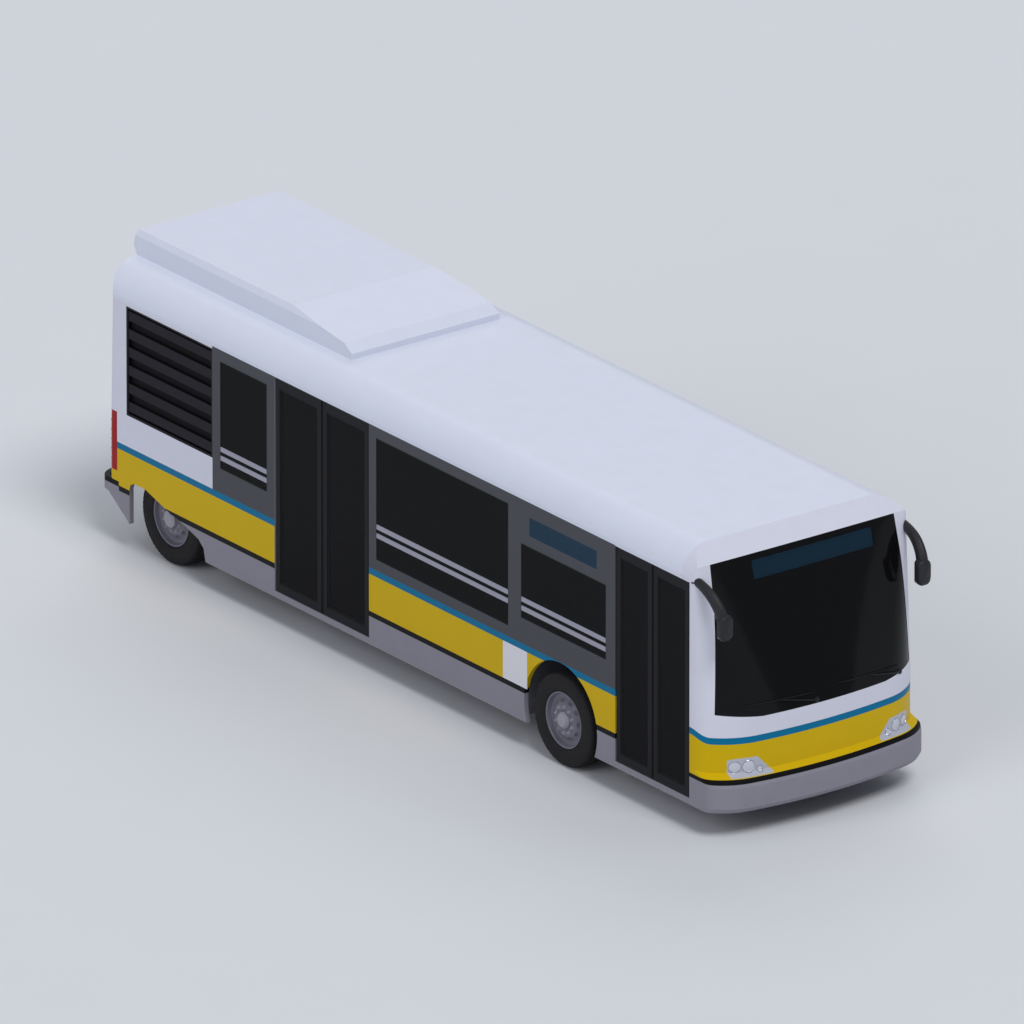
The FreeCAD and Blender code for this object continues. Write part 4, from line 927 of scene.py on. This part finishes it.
# A seat's cushion over its floor, its back over the cushion, and the driver's seat over the cabin floor.
CUSHION_HEIGHT = 0.42
BACK_HEIGHT = 0.585
DRIVER_LIFT = 0.03
# Seat backs lean back by this many degrees.
BACK_LEAN = 5


def seat(front, y, floor, width):
    """A seat facing forward: (soft pads, pressed shells, tubes) on a pedestal."""
    half = width / 2
    z = floor + CUSHION_HEIGHT
    back_pad = pad((0, 0, 0), (0.032, half - 0.020, 0.265), 3.2, 16, 30)
    back_shell = pad((0, 0, 0), (0.020, half - 0.004, 0.305), 5, 16, 30)
    pads = [pad((front - 0.205, y, z), (0.195, half - 0.018, 0.036), 3.2, 14, 30),
            pad((front - 0.040, y, z - 0.004), (0.036, half - 0.022, 0.034), 2.6, 12, 26),
            tilted(back_pad, BACK_LEAN, (front - 0.400, y, z + 0.310))]
    shells = [pad((front - 0.215, y, z - 0.034), (0.212, half - 0.004, 0.020), 5, 12, 30),
              tilted(back_shell, BACK_LEAN, (front - 0.432, y, z + 0.285))]
    top = z + BACK_HEIGHT
    # Grip rail: distance behind the front edge, share of the half width less its inset, rise over the back.
    grip = smooth_line([(front - behind, y + way * (half - inset), top + rise) for behind, way, inset, rise in
                        ((0.455, -1, 0.04, -0.03), (0.462, -1, 0.06, 0.02), (0.464, 0, 0.0, 0.03),
                         (0.462, 1, 0.06, 0.02), (0.455, 1, 0.04, -0.03))], 30)
    post = front - 0.23
    tubes = [tube(grip, 0.010, 10), tube([(post, y, floor + 0.004), (post, y, z - 0.05)], 0.024, 16),
             pad((post, y, floor + 0.006), (0.075, 0.075, 0.006), 6, 8, 24)]
    return pads, shells, tubes


def passenger_seats():
    """Two moquette seats for each bench of the frame."""
    pads, shells, tubes = [], [], []
    for low, high, _ in islands("passenger_seats"):
        width = (high[1] - low[1]) / 2
        for place in (low[1] + width / 2, high[1] - width / 2):
            made = seat(high[0], place, low[2], width)
            for kept, more in zip((pads, shells, tubes), made):
                kept.extend(more)
    soft = piece("seat_pads", pads, MOQUETTE, replaced=["passenger_seats"])
    piece("seat_shells", shells, SEAT_SHELL)
    piece("seat_tubes", tubes, STEEL_TUBE)


def driver_seat():
    """The driver's seat: high back, head pad, side rolls and a bellows pedestal."""
    low, high = span("driver_seat")
    y, floor = (low[1] + high[1]) / 2, low[2]
    pads, shells = seat(high[0], y, floor + DRIVER_LIFT, high[1] - low[1])[:2]
    top = floor + DRIVER_LIFT + CUSHION_HEIGHT + BACK_HEIGHT
    head_pad = pad((0, 0, 0), (0.032, 0.125, 0.075), 3, 12, 24)
    pads.append(tilted(head_pad, BACK_LEAN, (high[0] - 0.455, y, top + 0.060)))
    for side in (-1, 1):
        place = (high[0] - 0.20, y + side * 0.205, floor + 0.475)
        pads.append(pad(place, (0.180, 0.028, 0.030), 2.4, 12, 24))
    soft = piece("driver_seat_pads", pads, MOQUETTE, replaced=["driver_seat"])
    folds = [pad((high[0] - 0.22, y, floor + 0.085 + 0.045 * fold), (0.165, 0.165, 0.026), 3, 10, 30)
             for fold in range(7)]
    foot = pad((high[0] - 0.22, y, floor + 0.030), (0.20, 0.19, 0.029), 6, 10, 30)
    piece("driver_seat_bellows", folds + [foot], RUBBER)
    piece("driver_seat_shells", shells, SEAT_SHELL)


def pole_fittings():
    """Domed flanges where the poles meet floor and ceiling, and grab rails with hanging straps."""
    flanges, rails, straps = [], [], []
    for low, high, _ in islands("grab_poles"):
        x, y = (low[0] + high[0]) / 2, (low[1] + high[1]) / 2
        for z in (low[2] + 0.008, high[2] - 0.008):
            flanges.append(pad((x, y, z), (0.042, 0.042, 0.008), 2.6, 10, 24))
    high = span("grab_poles")[1][2]
    for side in (-1, 1):
        y, z = side * 0.50, high - 0.18
        rails.append(tube([(x, y, z) for x in np.linspace(-1.9, 3.1, 12)], 0.016, 12))
        for x in np.linspace(-1.8, 3.0, 5):
            rails.append(tube([(x, y, z), (x, y, high - 0.004)], 0.012, 10))
            rails.append(pad((x, y, high - 0.006), (0.036, 0.036, 0.006), 2.6, 8, 20))
        for x in np.arange(-1.5, 2.9, 0.48):
            loop = [(x + 0.012 * math.sin(a), y + 0.052 * math.sin(a), z - 0.150 - 0.050 * math.cos(a))
                    for a in full_turn(26)]
            straps.append(tube(loop, 0.009, 8, wrap=True))
            straps.append(pad((x, y, z - 0.055), (0.004, 0.014, 0.062), 5, 10, 16))
    piece("pole_flanges", flanges, STEEL_TUBE)
    piece("ceiling_rails", rails, STEEL_TUBE)
    piece("hanging_straps", straps, RUBBER)


def dashboard_fittings():
    """The instrument hood, four dials, a row of rocker switches and the wheel's boss."""
    low, high = span("dashboard")
    y, top, x = BINNACLE_Y, high[2], low[0]
    hood = [pad((x + 0.13, y, top + 0.030), (0.105, 0.26, 0.058), 4, 16, 36)]
    piece("instrument_hood", hood, DASH)
    dials, bezels = [], []
    for off, radius in ((-0.175, 0.030), (-0.075, 0.044), (0.045, 0.044), (0.155, 0.030)):
        dials.append(pad((x + 0.026, y + off, top + 0.036), (0.003, radius, radius), 2.2, 12, 28))
        circle = [(x + 0.024, y + off + radius * math.cos(a), top + 0.036 + radius * math.sin(a))
                  for a in full_turn(36)]
        bezels.append(tube(circle, 0.004, 8, wrap=True))
    for switch in range(9):
        place = (x - 0.001, y - 0.22 + 0.052 * switch, top - 0.075)
        dials.append(tilted(pad((0, 0, 0), (0.006, 0.018, 0.012), 5, 8, 16), 12, place))
    piece("dials_and_switches", dials, DIAL_FACE)
    piece("dial_bezels", bezels, CHROME)
    hub = sum(span("steering_wheel")) / 2
    boss = pad((0, 0, 0), (0.062, 0.062, 0.030), 3, 12, 28)
    piece("steering_boss", [tilted(boss, -33, (hub[0] - 0.004, hub[1], BOSS_HEIGHT))], DASH)


# The instruments' middle across the bus, and the height of the steering wheel's boss.
BINNACLE_Y = 0.75
BOSS_HEIGHT = 1.138
passenger_seats()
driver_seat()
pole_fittings()
dashboard_fittings()


# ------------------------------------------------------------------ studio
def studio():
    """A pale paper floor, even pale air and three soft suns: high in front, low beside and behind."""
    floor_mesh = bpy.data.meshes.new("studio_floor")
    reach = 400.0
    floor_mesh.from_pydata([(-reach, -reach, 0), (reach, -reach, 0), (reach, reach, 0), (-reach, reach, 0)],
                           [], [(0, 1, 2, 3)])
    floor = bpy.data.objects.new("studio_floor", floor_mesh)
    bpy.context.collection.objects.link(floor)
    made, tree, shader, place = material("floor_matt_paper", Roughness=0.95)
    plug(tree, shader, {"Base Color": mottled(tree, place, linear("#E2E4E8"), 900, 2.0, 0.01)})
    floor_mesh.materials.append(made)
    world = bpy.data.worlds.new("studio_air")
    bpy.context.scene.world = world
    world.use_nodes = True
    air = world.node_tree.nodes["Background"]
    air.inputs["Color"].default_value = linear("#DDE3F0")
    air.inputs["Strength"].default_value = 0.36
    # Suns: (name, azimuth, elevation, strength, spread), azimuth as for the camera.
    for name, azimuth, elevation, strength, spread in (
            ("key_sun", 84, 58, 1.32, 25), ("side_sun", 5, 30, 0.6, 40), ("back_sun", 230, 40, 0.5, 40)):
        lamp = bpy.data.lights.new(name, "SUN")
        lamp.energy = strength
        lamp.angle = math.radians(spread)
        sun = bpy.data.objects.new(name, lamp)
        sun.rotation_euler = (math.radians(90 - elevation), 0, math.radians(azimuth))
        bpy.context.collection.objects.link(sun)


# The view: angles in degrees, the width of the bus's scene in metres, and what the lens looks at.
AZIMUTH = 53.05
ELEVATION = 21.86
FRAME_WIDTH = 9.93
DISTANCE = 406.0
SENSOR = 36.0
TARGET = (-0.031, 0.0, 1.537)


def camera():
    """A very long lens, so that edges stay parallel, aimed at the middle of the bus."""
    made = bpy.data.cameras.new("long_lens")
    made.sensor_width = SENSOR
    made.lens = SENSOR * DISTANCE / FRAME_WIDTH
    made.clip_start = 1.0
    made.clip_end = 4 * DISTANCE
    eye = bpy.data.objects.new("long_lens", made)
    azimuth, elevation = math.radians(AZIMUTH), math.radians(ELEVATION)
    way = (math.sin(azimuth) * math.cos(elevation), -math.cos(azimuth) * math.cos(elevation),
           math.sin(elevation))
    eye.location = [place + DISTANCE * step for place, step in zip(TARGET, way)]
    eye.rotation_euler = (math.radians(90) - elevation, 0, azimuth)
    bpy.context.collection.objects.link(eye)
    bpy.context.scene.camera = eye


studio()
camera()
bpy.context.scene.view_settings.view_transform = "Standard"
